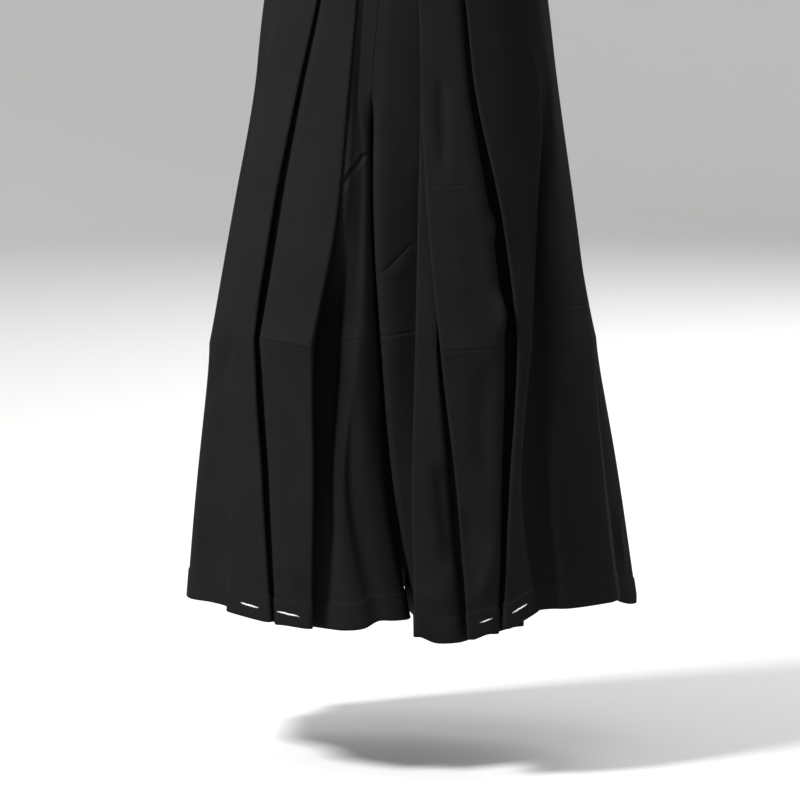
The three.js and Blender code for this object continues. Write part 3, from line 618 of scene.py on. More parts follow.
def pressed_height(nodes, links, creases):
    """The summed rise of the pressed creases. Along a path the higher of two neighbouring lines counts."""
    place, total = nodes.new("ShaderNodeAttribute"), None
    place.attribute_name = "place"
    for path, width, rise in creases:
        highest = None
        for first, second in zip(path, path[1:]):
            line = nodes.new("ShaderNodeGroup")
            line.node_tree = pressed_crease
            links.new(place.outputs["Vector"], line.inputs["Place"])
            line.inputs["Start"].default_value = (*first, 0)
            line.inputs["Way"].default_value = (second[0] - first[0], second[1] - first[1], 0)
            line.inputs["Width"].default_value = width
            higher = nodes.new("ShaderNodeMath")
            higher.operation = "MAXIMUM"
            higher.inputs[1].default_value = 0
            links.new(line.outputs["Height"], higher.inputs[0])
            if highest is not None:
                links.new(highest, higher.inputs[1])
            highest = higher.outputs[0]
        summed = nodes.new("ShaderNodeMath")
        summed.operation = "MULTIPLY_ADD"
        summed.inputs[1].default_value, summed.inputs[2].default_value = rise, 0
        links.new(highest, summed.inputs[0])
        if total is not None:
            links.new(total, summed.inputs[2])
        total = summed.outputs[0]
    return total


def twill_material(name, creases=()):
    """Black worsted cloth: two near-black colours mixed by the weave's Shade, which is painted shade darker
    between the wales plus a cloudy tone that varies at random; its wales as a fine bump, the pressed creases, and
    the line where the hem's turn-up is caught down. creases lists (path, width, rise), each path with points
    (distance round the cloth, height)."""
    material = bpy.data.materials.new(name)
    material.use_nodes = True
    nodes, links = material.node_tree.nodes, material.node_tree.links
    shader = nodes["Principled BSDF"]
    uv, weave = nodes.new("ShaderNodeUVMap"), nodes.new("ShaderNodeGroup")
    uv.uv_map, weave.node_tree = "weave", twill_weave
    weave.inputs["Wale"].default_value = 0.0011
    links.new(uv.outputs[0], weave.inputs["Weave"])
    # The colour: two near-blacks mixed by the weave's Shade, which is painted shade between the wales and a cloudy
    # random tone
    dye = nodes.new("ShaderNodeMix")
    dye.data_type = "RGBA"
    dye.inputs["A"].default_value = (0.0060, 0.0060, 0.0063, 1)
    dye.inputs["B"].default_value = (0.0110, 0.0110, 0.0115, 1)
    links.new(weave.outputs["Shade"], dye.inputs["Factor"])
    links.new(dye.outputs["Result"], shader.inputs["Base Color"])
    gloss = nodes.new("ShaderNodeMapRange")
    gloss.inputs["To Min"].default_value, gloss.inputs["To Max"].default_value = 0.74, 0.86
    links.new(weave.outputs["Shade"], gloss.inputs["Value"])
    links.new(gloss.outputs[0], shader.inputs["Roughness"])
    shader.inputs["Specular IOR Level"].default_value = 0.015
    rise, line = nodes.new("ShaderNodeAttribute"), nodes.new("ShaderNodeMapRange")
    rise.attribute_name = "hem_rise"
    off, gap = nodes.new("ShaderNodeMath"), nodes.new("ShaderNodeMath")
    off.operation, gap.operation = "SUBTRACT", "ABSOLUTE"
    off.inputs[1].default_value = HEM_ALLOWANCE
    links.new(rise.outputs["Fac"], off.inputs[0])
    links.new(off.outputs[0], gap.inputs[0])
    line.interpolation_type = "SMOOTHSTEP"
    line.inputs["From Max"].default_value = 0.0022
    links.new(gap.outputs[0], line.inputs["Value"])
    caught, bump, pressed = (nodes.new("ShaderNodeBump") for _ in range(3))
    pressed.inputs["Distance"].default_value = 1.0
    if creases:
        links.new(pressed_height(nodes, links, creases), pressed.inputs["Height"])
        links.new(pressed.outputs[0], caught.inputs["Normal"])
    caught.inputs["Distance"].default_value = 0.00028
    links.new(line.outputs[0], caught.inputs["Height"])
    bump.inputs["Distance"].default_value = 0.00012
    links.new(weave.outputs["Height"], bump.inputs["Height"])
    links.new(caught.outputs[0], bump.inputs["Normal"])
    links.new(bump.outputs[0], shader.inputs["Normal"])
    return material


# Creases pressed sharp while the pants were folded, and one bent crease where the last strip opens
PRESSED_RIGHT = [
    ([(-0.166, -0.586), (-0.121, -0.588), (-0.082, -0.5935)], 0.0042, 0.0009),
    ([(-0.076, -0.592), (-0.012, -0.586)], 0.0036, -0.0005),
    ([(-0.020, -0.368), (-0.034, -0.375), (-0.046, -0.394), (-0.053, -0.409)], 0.0050, -0.0026),
    ([(-0.038, -0.372), (-0.053, -0.397)], 0.0048, 0.0009),
]
right_piece, right_cloth = panel(
    "front_right_cloth", -1, 1, right_front, FRONT_FOLD, FRONT_FORK, CREASES_RIGHT, 0.0054
)
right_piece.data.materials.append(twill_material("black twill, right front", PRESSED_RIGHT))
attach(right_piece, "root")
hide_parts("front_right")

# LEFT FRONT
# The left front has three pleats of uneven depth, and its side seam swings forward towards the hem.

OUTER_LEFT = {
    "edge": [0.066, 0.088, 0.101, 0.136, 0.155, 0.151, 0.147],
    "face": [0, 0, 0, 0, 0, 0, 0],
    "drop": [0.0036, 0.009, 0.014, 0.028, 0.031, 0.024, 0.015],
    "tuck": [0.018, 0.030, 0.038, 0.040, 0.038, 0.034, 0.030],
    "hemline": -0.919,
}
MIDDLE_LEFT = {
    "edge": [0.027, 0.034, 0.038, 0.050, 0.069, 0.091, 0.107],
    "face": [0, 0, 0, 0, 0, 0, 0],
    "drop": [0.0036, 0.007, 0.008, 0.012, 0.016, 0.018, 0.014],
    "tuck": [0.018, 0.026, 0.028, 0.030, 0.030, 0.024, 0.016],
    "hemline": -0.930,
    "strip_hemline": -0.934,
}
INNER_LEFT = {
    "edge": [0.023, 0.033, 0.037, 0.038, 0.039, 0.039, 0.045],
    "face": [0.0036, 0.006, 0.008, 0.010, 0.008, 0.004, 0.002],
    "drop": [0.0036, 0.0070, 0.014, 0.026, 0.044, 0.054, 0.054],
    "tuck": [0.008, 0.010, 0.012, 0.013, 0.014, 0.016, 0.018],
    "hemline": -0.927,
}
SIDE_LEFT = {
    "ridge": [0.100, 0.144, 0.170, 0.171, 0.169, 0.164, 0.186],
    "deep": [0, 0, 0.003, 0.024, 0.028, 0.022, 0.010],
    "groove": [0.050, 0.036, 0.024, 0.022, 0.034, 0.038, 0.034],
    "hemline": -0.902,
}
SIDE_SEAM_LEFT = [0, 0.004, 0.008, 0.020, 0.043, 0.082, 0.099]
SIDE_HEMLINE_LEFT = -0.905
LEFT_SIDE, OUTER_STRIP, MIDDLE_STRIP, INNER_STRIP, SLOT = (7, 11), (7, 15), (24, 31), (40, 47), (55, 59)
UNDER_OUTER = (20, 26)
FOLDED_LEFT = [
    (-0.02, -0.587), (0.037, -0.581), (0.060, -0.590), (0.075, -0.596), (0.110, -0.596), (0.140, -0.592),
    (0.22, -0.598), (0.29, -0.604), (0.36, -0.608), (0.45, -0.606), (0.56, -0.602), (0.66, -0.598),
    (0.76, -0.600),
]
CREASES_LEFT = [
    (*ALL, 0.0030, FOLDED_LEFT, 0.036, 0.3, 1.0),
    (*SLOT, -0.0018, [(-0.006, -0.514), (0.010, -0.498), (0.032, -0.476)], 0.0035, 0.2, 1.6),
    (*SLOT, 0.0014, [(0.000, -0.524), (0.016, -0.506), (0.034, -0.488)], 0.005, 0, 1.6),
    (*SLOT, -0.0010, [(0.004, -0.400), (0.020, -0.380), (0.030, -0.350)], 0.006, 0, 2.0),
    (*MIDDLE_STRIP, -0.0055, [(0.060, -0.270), (0.063, -0.320), (0.065, -0.360), (0.069, -0.400)], 0.0055, 0, 1.6),
    (*MIDDLE_STRIP, 0.0010, [(0.050, -0.409), (0.070, -0.406), (0.093, -0.407)], 0.0045, 0.3, 1.0),
    (*MIDDLE_STRIP, 0.0014, [(0.066, -0.597), (0.090, -0.595), (0.116, -0.597)], 0.0060, 0.3, 1.0),
    (*MIDDLE_STRIP, -0.0016, [(0.098, -0.430), (0.112, -0.520), (0.108, -0.570)], 0.012, 0, 2.0),
    (*MIDDLE_STRIP, -0.0025, [(0.128, -0.600), (0.118, -0.680), (0.128, -0.760)], 0.012, 0, 2.0),
    (*MIDDLE_STRIP, 0.0042, [(0.140, -0.800), (0.128, -0.860), (0.112, -0.900)], 0.011, 0.2, 2.0),
    (*MIDDLE_STRIP, -0.0030, [(0.104, -0.770), (0.112, -0.850)], 0.011, 0, 2.0),
    (*INNER_STRIP, -0.0075, [(0.070, -0.715), (0.080, -0.790), (0.088, -0.862)], 0.014, 0.3, 2.0),
    (*INNER_STRIP, 0.0048, [(0.046, -0.868), (0.066, -0.878), (0.094, -0.904)], 0.011, 0.3, 2.0),
    (*UNDER_OUTER, 0.0130, [(0.133, -0.425), (0.139, -0.450), (0.137, -0.480)], 0.009, 0, 2.0),
    (*UNDER_OUTER, 0.0120, [(0.138, -0.520), (0.147, -0.560), (0.142, -0.590)], 0.011, 0, 2.0),
    (*OUTER_STRIP, -0.0010, [(0.140, -0.400), (0.160, -0.470), (0.158, -0.540)], 0.010, 0, 2.0),
    (*OUTER_STRIP, -0.0018, [(0.198, -0.835), (0.195, -0.870), (0.197, -0.905)], 0.007, 0, 2.0),
    (*LEFT_SIDE, -0.0010, [(0.210, -0.550), (0.250, -0.553), (0.298, -0.558)], 0.0050, 0.3, 1.2),
    (*LEFT_SIDE, -0.0030, [(0.255, -0.360), (0.262, -0.460), (0.250, -0.560)], 0.018, 0, 2.0),
    (*LEFT_SIDE, 0.0025, [(0.270, -0.640), (0.262, -0.740), (0.276, -0.840)], 0.020, 0, 2.0),
    (*LEFT_SIDE, -0.0034, [(0.225, -0.720), (0.238, -0.800), (0.236, -0.890)], 0.015, 0, 2.0),
    (*LEFT_SIDE, -0.0026, [(0.322, -0.852), (0.352, -0.870), (0.384, -0.890)], 0.0075, 0.2, 2.0),
    (*LEFT_SIDE, 0.0022, [(0.330, -0.872), (0.356, -0.888), (0.378, -0.904)], 0.0075, 0, 2.0),
]


def left_front(z):
    """The left front's section, from the side seam to the seam between the legs."""
    outline = HalfOutline(1, z)
    seam = outline.to_forward(at(SIDE_SEAM_LEFT, z)) - SEAM / 2
    return [
        *side_columns(outline, z, seam, SIDE_LEFT, OUTER_LEFT, SIDE_HEMLINE_LEFT),
        *pleat_columns(outline, z, OUTER_LEFT),
        *strip_columns(outline, z, OUTER_LEFT, MIDDLE_LEFT),
        *pleat_columns(outline, z, MIDDLE_LEFT),
        *strip_columns(outline, z, MIDDLE_LEFT, INNER_LEFT),
        *pleat_columns(outline, z, INNER_LEFT),
        *front_end(1, outline, z),
    ]


PRESSED_LEFT = [
    ([(-0.008, -0.585), (0.037, -0.580)], 0.0036, -0.0008),
    ([(0.040, -0.595), (0.066, -0.592)], 0.0034, -0.0003),
    ([(0.074, -0.597), (0.128, -0.596)], 0.0036, -0.0007),
    ([(0.184, -0.553), (0.230, -0.552), (0.305, -0.558)], 0.0038, -0.0009),
    ([(-0.004, -0.509), (0.030, -0.479)], 0.0036, -0.0009),
    ([(0.054, -0.407), (0.090, -0.407)], 0.0034, -0.0005),
]
left_piece, left_cloth = panel(
    "front_left_cloth", 1, -1, left_front, FRONT_FOLD, FRONT_FORK, CREASES_LEFT, 0.0056
)
left_piece.data.materials.append(twill_material("black twill, left front", PRESSED_LEFT))
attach(left_piece, "root")
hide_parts("front_left")

# BACKS
# Each back is plain cloth with no pleats. It flares from the seat and hangs in three soft flutes.

BACK_FOLD, BACK_FORK, BACK_HEMLINE, BACK_SEAM_DEPTH = -0.230, -0.335, -0.930, 0.052
BACK_INNER = [  # beside the seam while flat; aside of the middle and deep behind once opened
    {"flat": 0.046, "corner": (0.044, 0.002)},
    {"flat": 0.028, "corner": (0.020, 0.007)},
    {"flat": 0.014, "corner": (0.011, 0.020)},
    {"flat": 0.006, "corner": (0.007, 0.038)},
]
FLUTES, FLUTES_END = 3, 0.060
FLUTE_DEPTH = [0, 0.001, 0.004, 0.009, 0.012, 0.015, 0.018]


def back_end(side, outline, z):
    """The inner end of a back, opened like the front's but alike on both sides."""
    share = ease((BACK_FOLD - z) / (BACK_FOLD - BACK_FORK))
    travel = travelled(z, BACK_FORK)[:, None]

    def inside(aside, deep):
        return np.stack([np.full_like(z, side * aside), outline.back - deep], -1)

    seam = mix(inside(0, BACK_SEAM_DEPTH * share), np.array([0, SEAM / 2]), travel)
    seam[:, 0] += side * half_room(z)
    flat = [outline.place(outline.total - row["flat"], 0) for row in BACK_INNER]
    corner = [inside(*row["corner"]) for row in BACK_INNER]
    return inner_columns(side, flat, corner, seam, share, BACK_HEMLINE)


def back(side, z):
    """A back's section: waves 1/2 - 1/2 cos of the way across, from the side seam to the middle."""
    outline = HalfOutline(side, z)
    forward = SIDE_SEAM_RIGHT if side < 0 else SIDE_SEAM_LEFT
    side_hem = SIDE_HEMLINE_RIGHT if side < 0 else SIDE_HEMLINE_LEFT
    seam = outline.to_forward(at(forward, z)) + SEAM / 2
    columns = [(outline.place(seam, 0), side_hem)]
    for t in np.linspace(0, 1, 4 * FLUTES + 1):
        wave = 0.5 - 0.5 * np.cos(2 * np.pi * FLUTES * t)
        hemline = mix(side_hem, BACK_HEMLINE, ease(t * FLUTES))
        along = mix(seam + SEAM_FLAT, outline.total - FLUTES_END, t)
        columns.append((outline.place(along, at(FLUTE_DEPTH, z) * wave), hemline))
    return [*columns, *back_end(side, outline, z)]


BACK_CLOTH, SEAT = (4, 22), (14, 21)
CREASES_BACK_RIGHT = [
    (*ALL, 0.0042, FOLDED_RIGHT, 0.045, 0.3, 1.0),
    (*BACK_CLOTH, -0.0040, [(0.655, -0.270), (0.610, -0.330), (0.560, -0.410), (0.535, -0.500)], 0.016, 0.2, 2.0),
    (*BACK_CLOTH, 0.0030, [(0.640, -0.340), (0.590, -0.420), (0.570, -0.520)], 0.014, 0, 2.0),
    (*BACK_CLOTH, -0.0032, [(0.560, -0.210), (0.520, -0.270), (0.470, -0.310)], 0.013, 0, 2.0),
    (*BACK_CLOTH, -0.0036, [(0.450, -0.480), (0.475, -0.570), (0.520, -0.650)], 0.015, 0.3, 2.0),
    (*BACK_CLOTH, 0.0028, [(0.610, -0.660), (0.560, -0.720), (0.530, -0.800)], 0.017, 0, 2.0),
    (*BACK_CLOTH, -0.0030, [(0.640, -0.760), (0.600, -0.820), (0.590, -0.890)], 0.014, 0, 2.0),
    (*BACK_CLOTH, 0.0040, [(0.480, -0.840), (0.500, -0.880), (0.494, -0.915)], 0.012, 0, 2.0),
    (*BACK_CLOTH, -0.0012, [(0.420, -0.700), (0.480, -0.704), (0.540, -0.698)], 0.006, 0.3, 1.2),
    (*SEAT, -0.0025, [(0.600, -0.560), (0.640, -0.640)], 0.012, 0, 2.0),
]
CREASES_BACK_LEFT = [
    (*ALL, 0.0030, FOLDED_LEFT, 0.036, 0.3, 1.0),
    (*BACK_CLOTH, -0.0036, [(0.655, -0.290), (0.600, -0.350), (0.560, -0.440)], 0.015, 0.2, 2.0),
    (*BACK_CLOTH, 0.0026, [(0.620, -0.300), (0.570, -0.370), (0.520, -0.400)], 0.012, 0, 2.0),
    (*BACK_CLOTH, -0.0040, [(0.600, -0.470), (0.560, -0.560), (0.555, -0.670)], 0.017, 0, 2.0),
    (*BACK_CLOTH, -0.0030, [(0.450, -0.390), (0.440, -0.480), (0.470, -0.560)], 0.015, -0.2, 2.0),
    (*BACK_CLOTH, 0.0030, [(0.500, -0.640), (0.480, -0.740), (0.500, -0.830)], 0.018, 0, 2.0),
    (*BACK_CLOTH, -0.0034, [(0.560, -0.800), (0.590, -0.850), (0.584, -0.905)], 0.013, 0.3, 2.0),
    (*BACK_CLOTH, 0.0036, [(0.430, -0.800), (0.420, -0.850), (0.440, -0.900)], 0.012, 0, 2.0),
    (*BACK_CLOTH, -0.0012, [(0.520, -0.480), (0.580, -0.476), (0.630, -0.482)], 0.005, 0.3, 1.2),
]
PRESSED_BACK = [
    ([(-0.440, -0.610), (-0.570, -0.602)], 0.0036, -0.0008),
    ([(-0.600, -0.600), (-0.650, -0.598)], 0.0038, 0.0006),
    ([(0.420, -0.604), (0.530, -0.602)], 0.0036, -0.0007),
    ([(0.560, -0.602), (0.640, -0.598)], 0.0036, 0.0006),
]
back_twill = twill_material("black twill, backs", PRESSED_BACK)
backs = {}
for name, side, creases in (("back_right", -1, CREASES_BACK_RIGHT), ("back_left", 1, CREASES_BACK_LEFT)):
    piece, backs[name] = panel(
        name + "_cloth", side, side, lambda z, s=side: back(s, z), BACK_FOLD, BACK_FORK, creases, 0.0048
    )
    piece.data.materials.append(back_twill)
    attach(piece, "root")
    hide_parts(name)

# WAISTBAND
# One strip of the same twill, folded double over its interlining and edge-pressed, goes round the waist
# outside the panels. Its left end laps over the right one at the front and is held by a button.

BAND_LENGTH, BAND_DEPTH, BAND_WALL, BAND_LAP, LAP_GAP = 0.85, 0.040, 0.0026, 0.036, 0.0004
BAND_OUTSIDE = CLOTH / 2 + SEAM + BAND_WALL / 2  # middle of its wall, outside the panels' middle


def rounded_profile(depth, wall, bend, steps=6):
    """A closed outline of (height, offset): a flat rectangle from 0 down to -depth with corners of radius
    bend."""
    quarter = np.linspace(0, np.pi / 2, steps)
    centres = [(-bend, wall / 2 - bend), (-depth + bend, wall / 2 - bend)]
    centres += [(-depth + bend, -wall / 2 + bend), (-bend, -wall / 2 + bend)]
    turns = [(1, 1), (-1, 1), (-1, -1), (1, -1)]
    points = []
    for k, ((z, offset), (up, out)) in enumerate(zip(centres, turns)):
        turn = quarter if k % 2 == 0 else quarter[::-1]
        points.append(np.stack([z + up * bend * np.cos(turn), offset + out * bend * np.sin(turn)], -1))
    sides = np.linspace(-bend, -depth + bend, 14)[1:-1]
    front = np.stack([sides, np.full(12, wall / 2)], -1)
    rear = np.stack([sides[::-1], np.full(12, -wall / 2)], -1)
    return np.concatenate([points[0], front, points[1], points[2], rear, points[3]])


def band_points(along, profile):
    """The band's surface: each profile point carried round the waist, over the right half and then the left,
    and lifted by a smooth step where the lap begins."""
    count = (len(along), len(profile))
    z = np.broadcast_to(profile[:, 0], count).ravel()
    right, left = HalfOutline(-1, z), HalfOutline(1, z)
    seam, length = at(PARTING, z), right.total + left.total
    run = mix(-seam - BAND_LAP / 2, length - seam + BAND_LAP / 2, np.broadcast_to(along[:, None], count).ravel())
    lift = (BAND_WALL + LAP_GAP) * ease((run - (length + seam - 2.5 * BAND_LAP)) / BAND_LAP)
    depth = -BAND_OUTSIDE - lift - np.broadcast_to(profile[:, 1], count).ravel()
    flat = np.where((run <= right.total)[:, None], right.place(run, depth), left.place(length - run, depth))
    return np.column_stack([flat, z]).reshape(*count, 3)


def mesh_piece(name, points, faces, material, smooth=True):
    """A new object at the origin from points and faces, shaded smooth, its faces turned outward."""
    mesh = bpy.data.meshes.new(name)
    mesh.from_pydata(np.asarray(points).reshape(-1, 3).tolist(), [], faces)
    mesh.polygons.foreach_set("use_smooth", np.full(len(mesh.polygons), smooth))
    mesh.materials.append(material)
    if signed_volume(mesh) < 0:
        mesh.flip_normals()
    made = bpy.data.objects.new(name, mesh)
    bpy.context.scene.collection.objects.link(made)
    return made


def tube_faces(rings, around, closed=False):
    """Quads between neighbouring rings of a tube, and a face on each end of an open one."""
    index = np.arange(rings * around).reshape(rings, around)
    first, second = (index, np.roll(index, -1, axis=0)) if closed else (index[:-1], index[1:])
    quads = np.stack([first, second, np.roll(second, -1, 1), np.roll(first, -1, 1)], -1).reshape(-1, 4).tolist()
    return quads if closed else [*quads, index[0].tolist(), index[-1].tolist()[::-1]]


twill = twill_material("black twill, waistband")
profile = rounded_profile(BAND_DEPTH, BAND_WALL, 0.0010)
band_along = np.linspace(0, 1, 401)
band_grid = band_points(band_along, profile)
band = mesh_piece("waistband_cloth", band_grid, tube_faces(*band_grid.shape[:2]), twill)
band_uv = band.data.uv_layers.new(name="weave")
band_loops = np.empty(len(band.data.loops), np.int32)
band.data.loops.foreach_get("vertex_index", band_loops)
band_across = profile[None, :, 0] - profile[None, :, 1]
band_flat = np.stack(np.broadcast_arrays(band_along[:, None] * BAND_LENGTH, band_across), -1)
band_uv.data.foreach_set("uv", band_flat.reshape(-1, 2)[band_loops].astype(np.float32).ravel())
band_rise = band.data.attributes.new("hem_rise", "FLOAT", "POINT")
band_rise.data.foreach_set("value", np.full(len(band.data.vertices), 1.0, np.float32))
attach(band, "root")
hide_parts("waistband")

# BUTTON
# A four-hole button of dull black resin, turned with a raised rim, holds the lap. Two bars of thread cross
# it, and the buttonhole behind it is bound with the same thread.

BUTTON_RADIUS, BUTTON_RISE, HOLE_RADIUS, HOLE_OUT = 0.0085, 0.002, 0.0009, 0.0019
LAP_FACE = OUTLINE_FRONT[0] + BAND_OUTSIDE + BAND_WALL * 1.5 + LAP_GAP
BUTTON_MIDDLE = np.array([PARTING[0], -LAP_FACE - 0.0003, PANEL_TOP + BUTTON_RADIUS + BUTTON_RISE])
HOLES = [(HOLE_OUT * across, HOLE_OUT * up) for across in (-1, 1) for up in (-1, 1)]


def button_points(rings=72, around=144):
    """The button's face and back as one polar sheet: over the face the height is the turned profile less a
    steep well 1 - smooth step at each hole, and the back is a flat disc."""
    profile = np.array([(0, 0.0023), (0.0052, 0.0023), (0.0062, 0.0026), (0.0070, 0.0030), (0.0077, 0.0030)])
    radius = np.linspace(0, 0.0077, rings)
    height = np.interp(radius, *profile.T)
    turn = np.linspace(0, 2 * np.pi, around, endpoint=False)
    x, z = radius[:, None] * np.cos(turn), radius[:, None] * np.sin(turn)
    height = np.broadcast_to(height[:, None], x.shape).copy()
    for across, up in HOLES:
        distance = np.hypot(x - across, z - up)
        height -= 0.0016 * (1 - ease((distance - HOLE_RADIUS + 0.0001) / 0.0003))
    face = np.stack([x, -height, z], -1)
    edge = [(0.0082, 0.0028), (0.0085, 0.0023), (0.0085, 0.0011), (0.0082, 0.0003), (0.0075, 0), (0.0001, 0)]
    edge = np.array(edge)[:, :, None]
    rim = np.stack([edge[:, 0] * np.cos(turn), -edge[:, 1] + 0 * turn, edge[:, 0] * np.sin(turn)], -1)
    return np.concatenate([face[1:], rim]) + BUTTON_MIDDLE


resin = bpy.data.materials.new("black resin")
resin.use_nodes = True
resin_nodes, resin_links = resin.node_tree.nodes, resin.node_tree.links
resin_shader = resin_nodes["Principled BSDF"]
resin_place, resin_cloud = resin_nodes.new("ShaderNodeTexCoord"), resin_nodes.new("ShaderNodeTexNoise")
resin_cloud.inputs["Scale"].default_value, resin_cloud.inputs["Detail"].default_value = 900, 4
resin_links.new(resin_place.outputs["Object"], resin_cloud.inputs["Vector"])
resin_gloss = resin_nodes.new("ShaderNodeMapRange")
resin_gloss.inputs["To Min"].default_value, resin_gloss.inputs["To Max"].default_value = 0.30, 0.48
resin_links.new(resin_cloud.outputs["Fac"], resin_gloss.inputs["Value"])
resin_links.new(resin_gloss.outputs[0], resin_shader.inputs["Roughness"])
resin_dye = resin_nodes.new("ShaderNodeMix")
resin_dye.data_type = "RGBA"
resin_dye.inputs["A"].default_value = (0.010, 0.010, 0.010, 1)
resin_dye.inputs["B"].default_value = (0.017, 0.016, 0.016, 1)
resin_links.new(resin_cloud.outputs["Fac"], resin_dye.inputs["Factor"])
resin_links.new(resin_dye.outputs["Result"], resin_shader.inputs["Base Color"])

button_grid = button_points()
button = mesh_piece("waist_button_resin", button_grid, tube_faces(*button_grid.shape[:2]), resin)
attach(button, "root")
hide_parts("waist_button")


def thread_points(path, radius, twist=0.0012, around=10, spacing=0.00035):
    """A two-ply thread along a smooth path: rings of radius r (1 + 0.22 cos 2(a - turn)), where the turn
    goes once round in each twist of length, tapered over its last radius at both ends."""
    path = np.asarray(path, float)
    steps = np.linalg.norm(np.diff(path, axis=0), axis=1)
    total = np.concatenate([[0], np.cumsum(steps)])
    length = np.linspace(0, total[-1], max(int(total[-1] / spacing), 8))
    line = np.stack([np.interp(length, total, path[:, k]) for k in range(3)], -1)
    for _ in range(3):
        line[1:-1] = (line[:-2] + 2 * line[1:-1] + line[2:]) / 4
    run = np.gradient(line, axis=0)
    run /= np.linalg.norm(run, axis=1, keepdims=True)
    side = np.cross(run, [0.03, -1.0, 0.07])
    side /= np.linalg.norm(side, axis=1, keepdims=True)
    over = np.cross(side, run)
    angle = np.linspace(0, 2 * np.pi, around, endpoint=False)
    ply = 1 + 0.22 * np.cos(2 * (angle - 2 * np.pi * length[:, None] / twist))
    end = np.minimum(length, total[-1] - length) / radius
    thick = (radius * np.sqrt(np.clip(end, 0.05, 1)))[:, None] * ply
    return line[:, None] + thick[..., None] * (
        side[:, None] * np.cos(angle)[None, :, None] + over[:, None] * np.sin(angle)[None, :, None]
    )


def joined_threads(name, paths, radius, material, **shape):
    """Several threads as one mesh."""
    points, faces, start = [], [], 0
    for path in paths:
        rings = thread_points(path, radius, **shape)
        faces += [[v + start for v in face] for face in tube_faces(*rings.shape[:2])]
        points.append(rings.reshape(-1, 3))
        start += len(points[-1])
    return mesh_piece(name, np.concatenate(points), faces, material)


def thread_material(name, colour, sheen):
    """Spun thread: its colour darkened in patches by a fine noise, dull, with a little sheen."""
    material = bpy.data.materials.new(name)
    material.use_nodes = True
    nodes, links = material.node_tree.nodes, material.node_tree.links
    shader, place = nodes["Principled BSDF"], nodes.new("ShaderNodeTexCoord")
    fluff = nodes.new("ShaderNodeTexNoise")
    fluff.inputs["Scale"].default_value, fluff.inputs["Detail"].default_value = 1800, 3
    links.new(place.outputs["Object"], fluff.inputs["Vector"])
    dye = nodes.new("ShaderNodeMix")
    dye.data_type = "RGBA"
    dye.inputs["A"].default_value = (*[c * 0.7 for c in colour], 1)
    dye.inputs["B"].default_value = (*colour, 1)
    links.new(fluff.outputs["Fac"], dye.inputs["Factor"])
    links.new(dye.outputs["Result"], shader.inputs["Base Color"])
    shader.inputs["Roughness"].default_value = 0.8
    shader.inputs["Sheen Weight"].default_value = sheen
    bump = nodes.new("ShaderNodeBump")
    bump.inputs["Distance"].default_value = 0.00015
    links.new(fluff.outputs["Fac"], bump.inputs["Height"])
    links.new(bump.outputs[0], shader.inputs["Normal"])
    return material


black_thread = thread_material("black thread", (0.02, 0.02, 0.021), 0.1)
bars = []
for up in (-1, 1):
    for strand in (-1, 0, 1):
        z = HOLE_OUT * up + 0.0003 * strand
        sag = [(-HOLE_OUT, -0.0012), (-HOLE_OUT, -0.0026), (0, -0.0029)]
        sag += [(HOLE_OUT, -0.0026), (HOLE_OUT, -0.0012)]
        bars.append([BUTTON_MIDDLE + np.array([x, y, z]) for x, y in sag])
hole_turn = np.linspace(0, 2 * np.pi, 65)
flat_turn = np.sign(np.cos(hole_turn)) * np.abs(np.cos(hole_turn)) ** 0.4
bound = BUTTON_MIDDLE + np.stack([0.0115 * flat_turn, np.full(65, 0.0001), 0.0012 * np.sin(hole_turn)], -1)
button_thread = joined_threads("button_thread", [*bars, bound], 0.00022, black_thread)
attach(button_thread, "root")

# BASTING
# Short tacks of white cotton hold the pleats flat at the hem until the pants are first worn. Each is one
# thread that dips into the cloth at both ends.

white_thread = thread_material("white basting cotton", (0.80, 0.80, 0.78), 0.2)


def on_cloth(cloth, along, height, first, last):
    """The point of a panel's outer face at a place round the cloth and a height, between two of its
    columns: the mean of the four nearest grid points, weighted by 1 over the distance."""
    layer = (cloth["place"] >= first) & (cloth["place"] <= last)
    fine, run = cloth["fine"][:, layer], cloth["along"][:, layer]
    distance = np.hypot(run - along, fine[..., 2] - height).ravel()
    near = np.argsort(distance)[:4]
    weight = 1 / (distance[near] + 1e-6)
    face = fine + cloth["normals"][:, layer] * CLOTH / 2
    return (face.reshape(-1, 3)[near] * weight[:, None]).sum(0) / weight.sum()


def tack(cloth, start, end, first, last, radius, bow=0.0008):
    """One stitch along the cloth, bowed outward and sunk at its ends."""
    path = []
    for t in np.linspace(0, 1, 25):
        along, height = mix(np.array(start), np.array(end), t)
        point = on_cloth(cloth, along, height, first, last)
        out = np.array([point[0], point[1], 0]) / np.hypot(point[0], point[1])
        path.append(point + out * (radius * 0.7 + bow * np.sin(np.pi * t) - 0.0030 * abs(2 * t - 1) ** 24))
    return path


BASTING_RADIUS = 0.0010
tacks = [
    tack(right_cloth, (0.178, -0.898), (0.145, -0.902), 6, 15, BASTING_RADIUS),
    tack(right_cloth, (0.125, -0.903), (0.090, -0.908), 24, 31, BASTING_RADIUS),
    tack(left_cloth, (0.118, -0.912), (0.139, -0.905), 24, 31, BASTING_RADIUS * 0.7),
    tack(left_cloth, (0.158, -0.902), (0.181, -0.891), 6, 15, BASTING_RADIUS),
]
basting = joined_threads("basting_tacks", tacks, BASTING_RADIUS, white_thread, twist=0.0040)
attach(basting, "root")

# STAGE
# A plain pale floor that sweeps up all round into a wall, soft light from the upper left and the front, and a
# camera at standing height that looks a little down.

FLOOR_LEVEL, FLOOR_REACH, SWEEP, WALL_HEIGHT = -1.100, 7.0, 1.6, 4.0


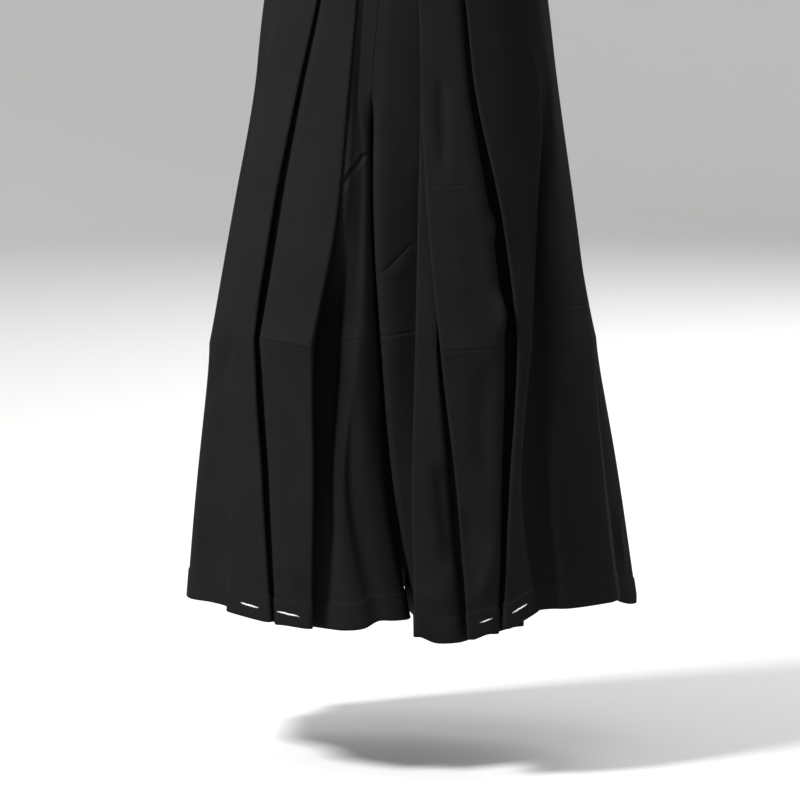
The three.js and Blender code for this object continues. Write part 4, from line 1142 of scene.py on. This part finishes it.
def turned_sweep(reach, bend, height, level, around=96):
    """A floor of that reach, a quarter circle of radius bend and a straight wall, turned round the Z axis."""
    angle = np.linspace(0, np.pi / 2, 17)
    curve = np.stack([reach + bend * np.sin(angle), level + bend * (1 - np.cos(angle))], -1)
    profile = np.concatenate([[[reach * 0.5, level]], curve, [[reach + bend, level + height]]])
    turn = np.linspace(0, 2 * np.pi, around, endpoint=False)
    ring = profile[:, 0, None] * np.array([np.cos(turn), np.sin(turn)])[:, None, :]
    height_of = np.broadcast_to(profile[:, 1, None], ring.shape[1:])
    points = np.stack([ring[0], ring[1], height_of], -1).reshape(-1, 3)
    index = np.arange(len(points)).reshape(ring.shape[1:])
    after = np.roll(index, -1, axis=1)
    faces = np.stack([index[:-1], after[:-1], after[1:], index[1:]], -1).reshape(-1, 4).tolist()
    centre = index[0].tolist()
    return points, [*[f[::-1] for f in faces], centre]


sweep_points, sweep_faces = turned_sweep(FLOOR_REACH, SWEEP, WALL_HEIGHT, FLOOR_LEVEL)
sweep_mesh = bpy.data.meshes.new("floor")
sweep_mesh.from_pydata(sweep_points.tolist(), [], sweep_faces)
sweep_mesh.polygons.foreach_set("use_smooth", np.ones(len(sweep_mesh.polygons), bool))
floor = bpy.data.objects.new("floor", sweep_mesh)
bpy.context.scene.collection.objects.link(floor)
paper = bpy.data.materials.new("pale floor")
paper.use_nodes = True
paper_shader = paper.node_tree.nodes["Principled BSDF"]
paper_shader.inputs["Base Color"].default_value = (0.62, 0.62, 0.615, 1)
paper_shader.inputs["Roughness"].default_value = 0.9
sweep_mesh.materials.append(paper)


def soft_light(name, place, aim, size, watts):
    """A square area light of that size that stands at place and faces aim."""
    lamp = bpy.data.objects.new(name, bpy.data.lights.new(name, "AREA"))
    lamp.location = place
    lamp.rotation_euler = (Vector(aim) - Vector(place)).to_track_quat("-Z", "Y").to_euler()
    lamp.data.size, lamp.data.energy = size, watts
    lamp.visible_camera = False
    bpy.context.scene.collection.objects.link(lamp)


soft_light("key", (-1.78, -1.39, 1.76), (0, 0, -0.5), 0.6, 190)
soft_light("back fill", (1.5, 4.5, 2.4), (0, 0, -0.5), 2.5, 200)
world = bpy.data.worlds.new("studio")
world.use_nodes = True
world.node_tree.nodes["Background"].inputs["Color"].default_value = (1, 1, 1, 1)
world.node_tree.nodes["Background"].inputs["Strength"].default_value = 0.8
bpy.context.scene.world = world
bpy.context.scene.view_settings.view_transform = "Standard"

camera = bpy.data.objects.new("camera", bpy.data.cameras.new("camera"))
camera.location = (0.7583, -5.4475, 0)
camera.rotation_euler = np.radians([82.95, 0, 8])
camera.data.lens, camera.data.sensor_width = 205.4, 36
bpy.context.scene.collection.objects.link(camera)
bpy.context.scene.camera = camera
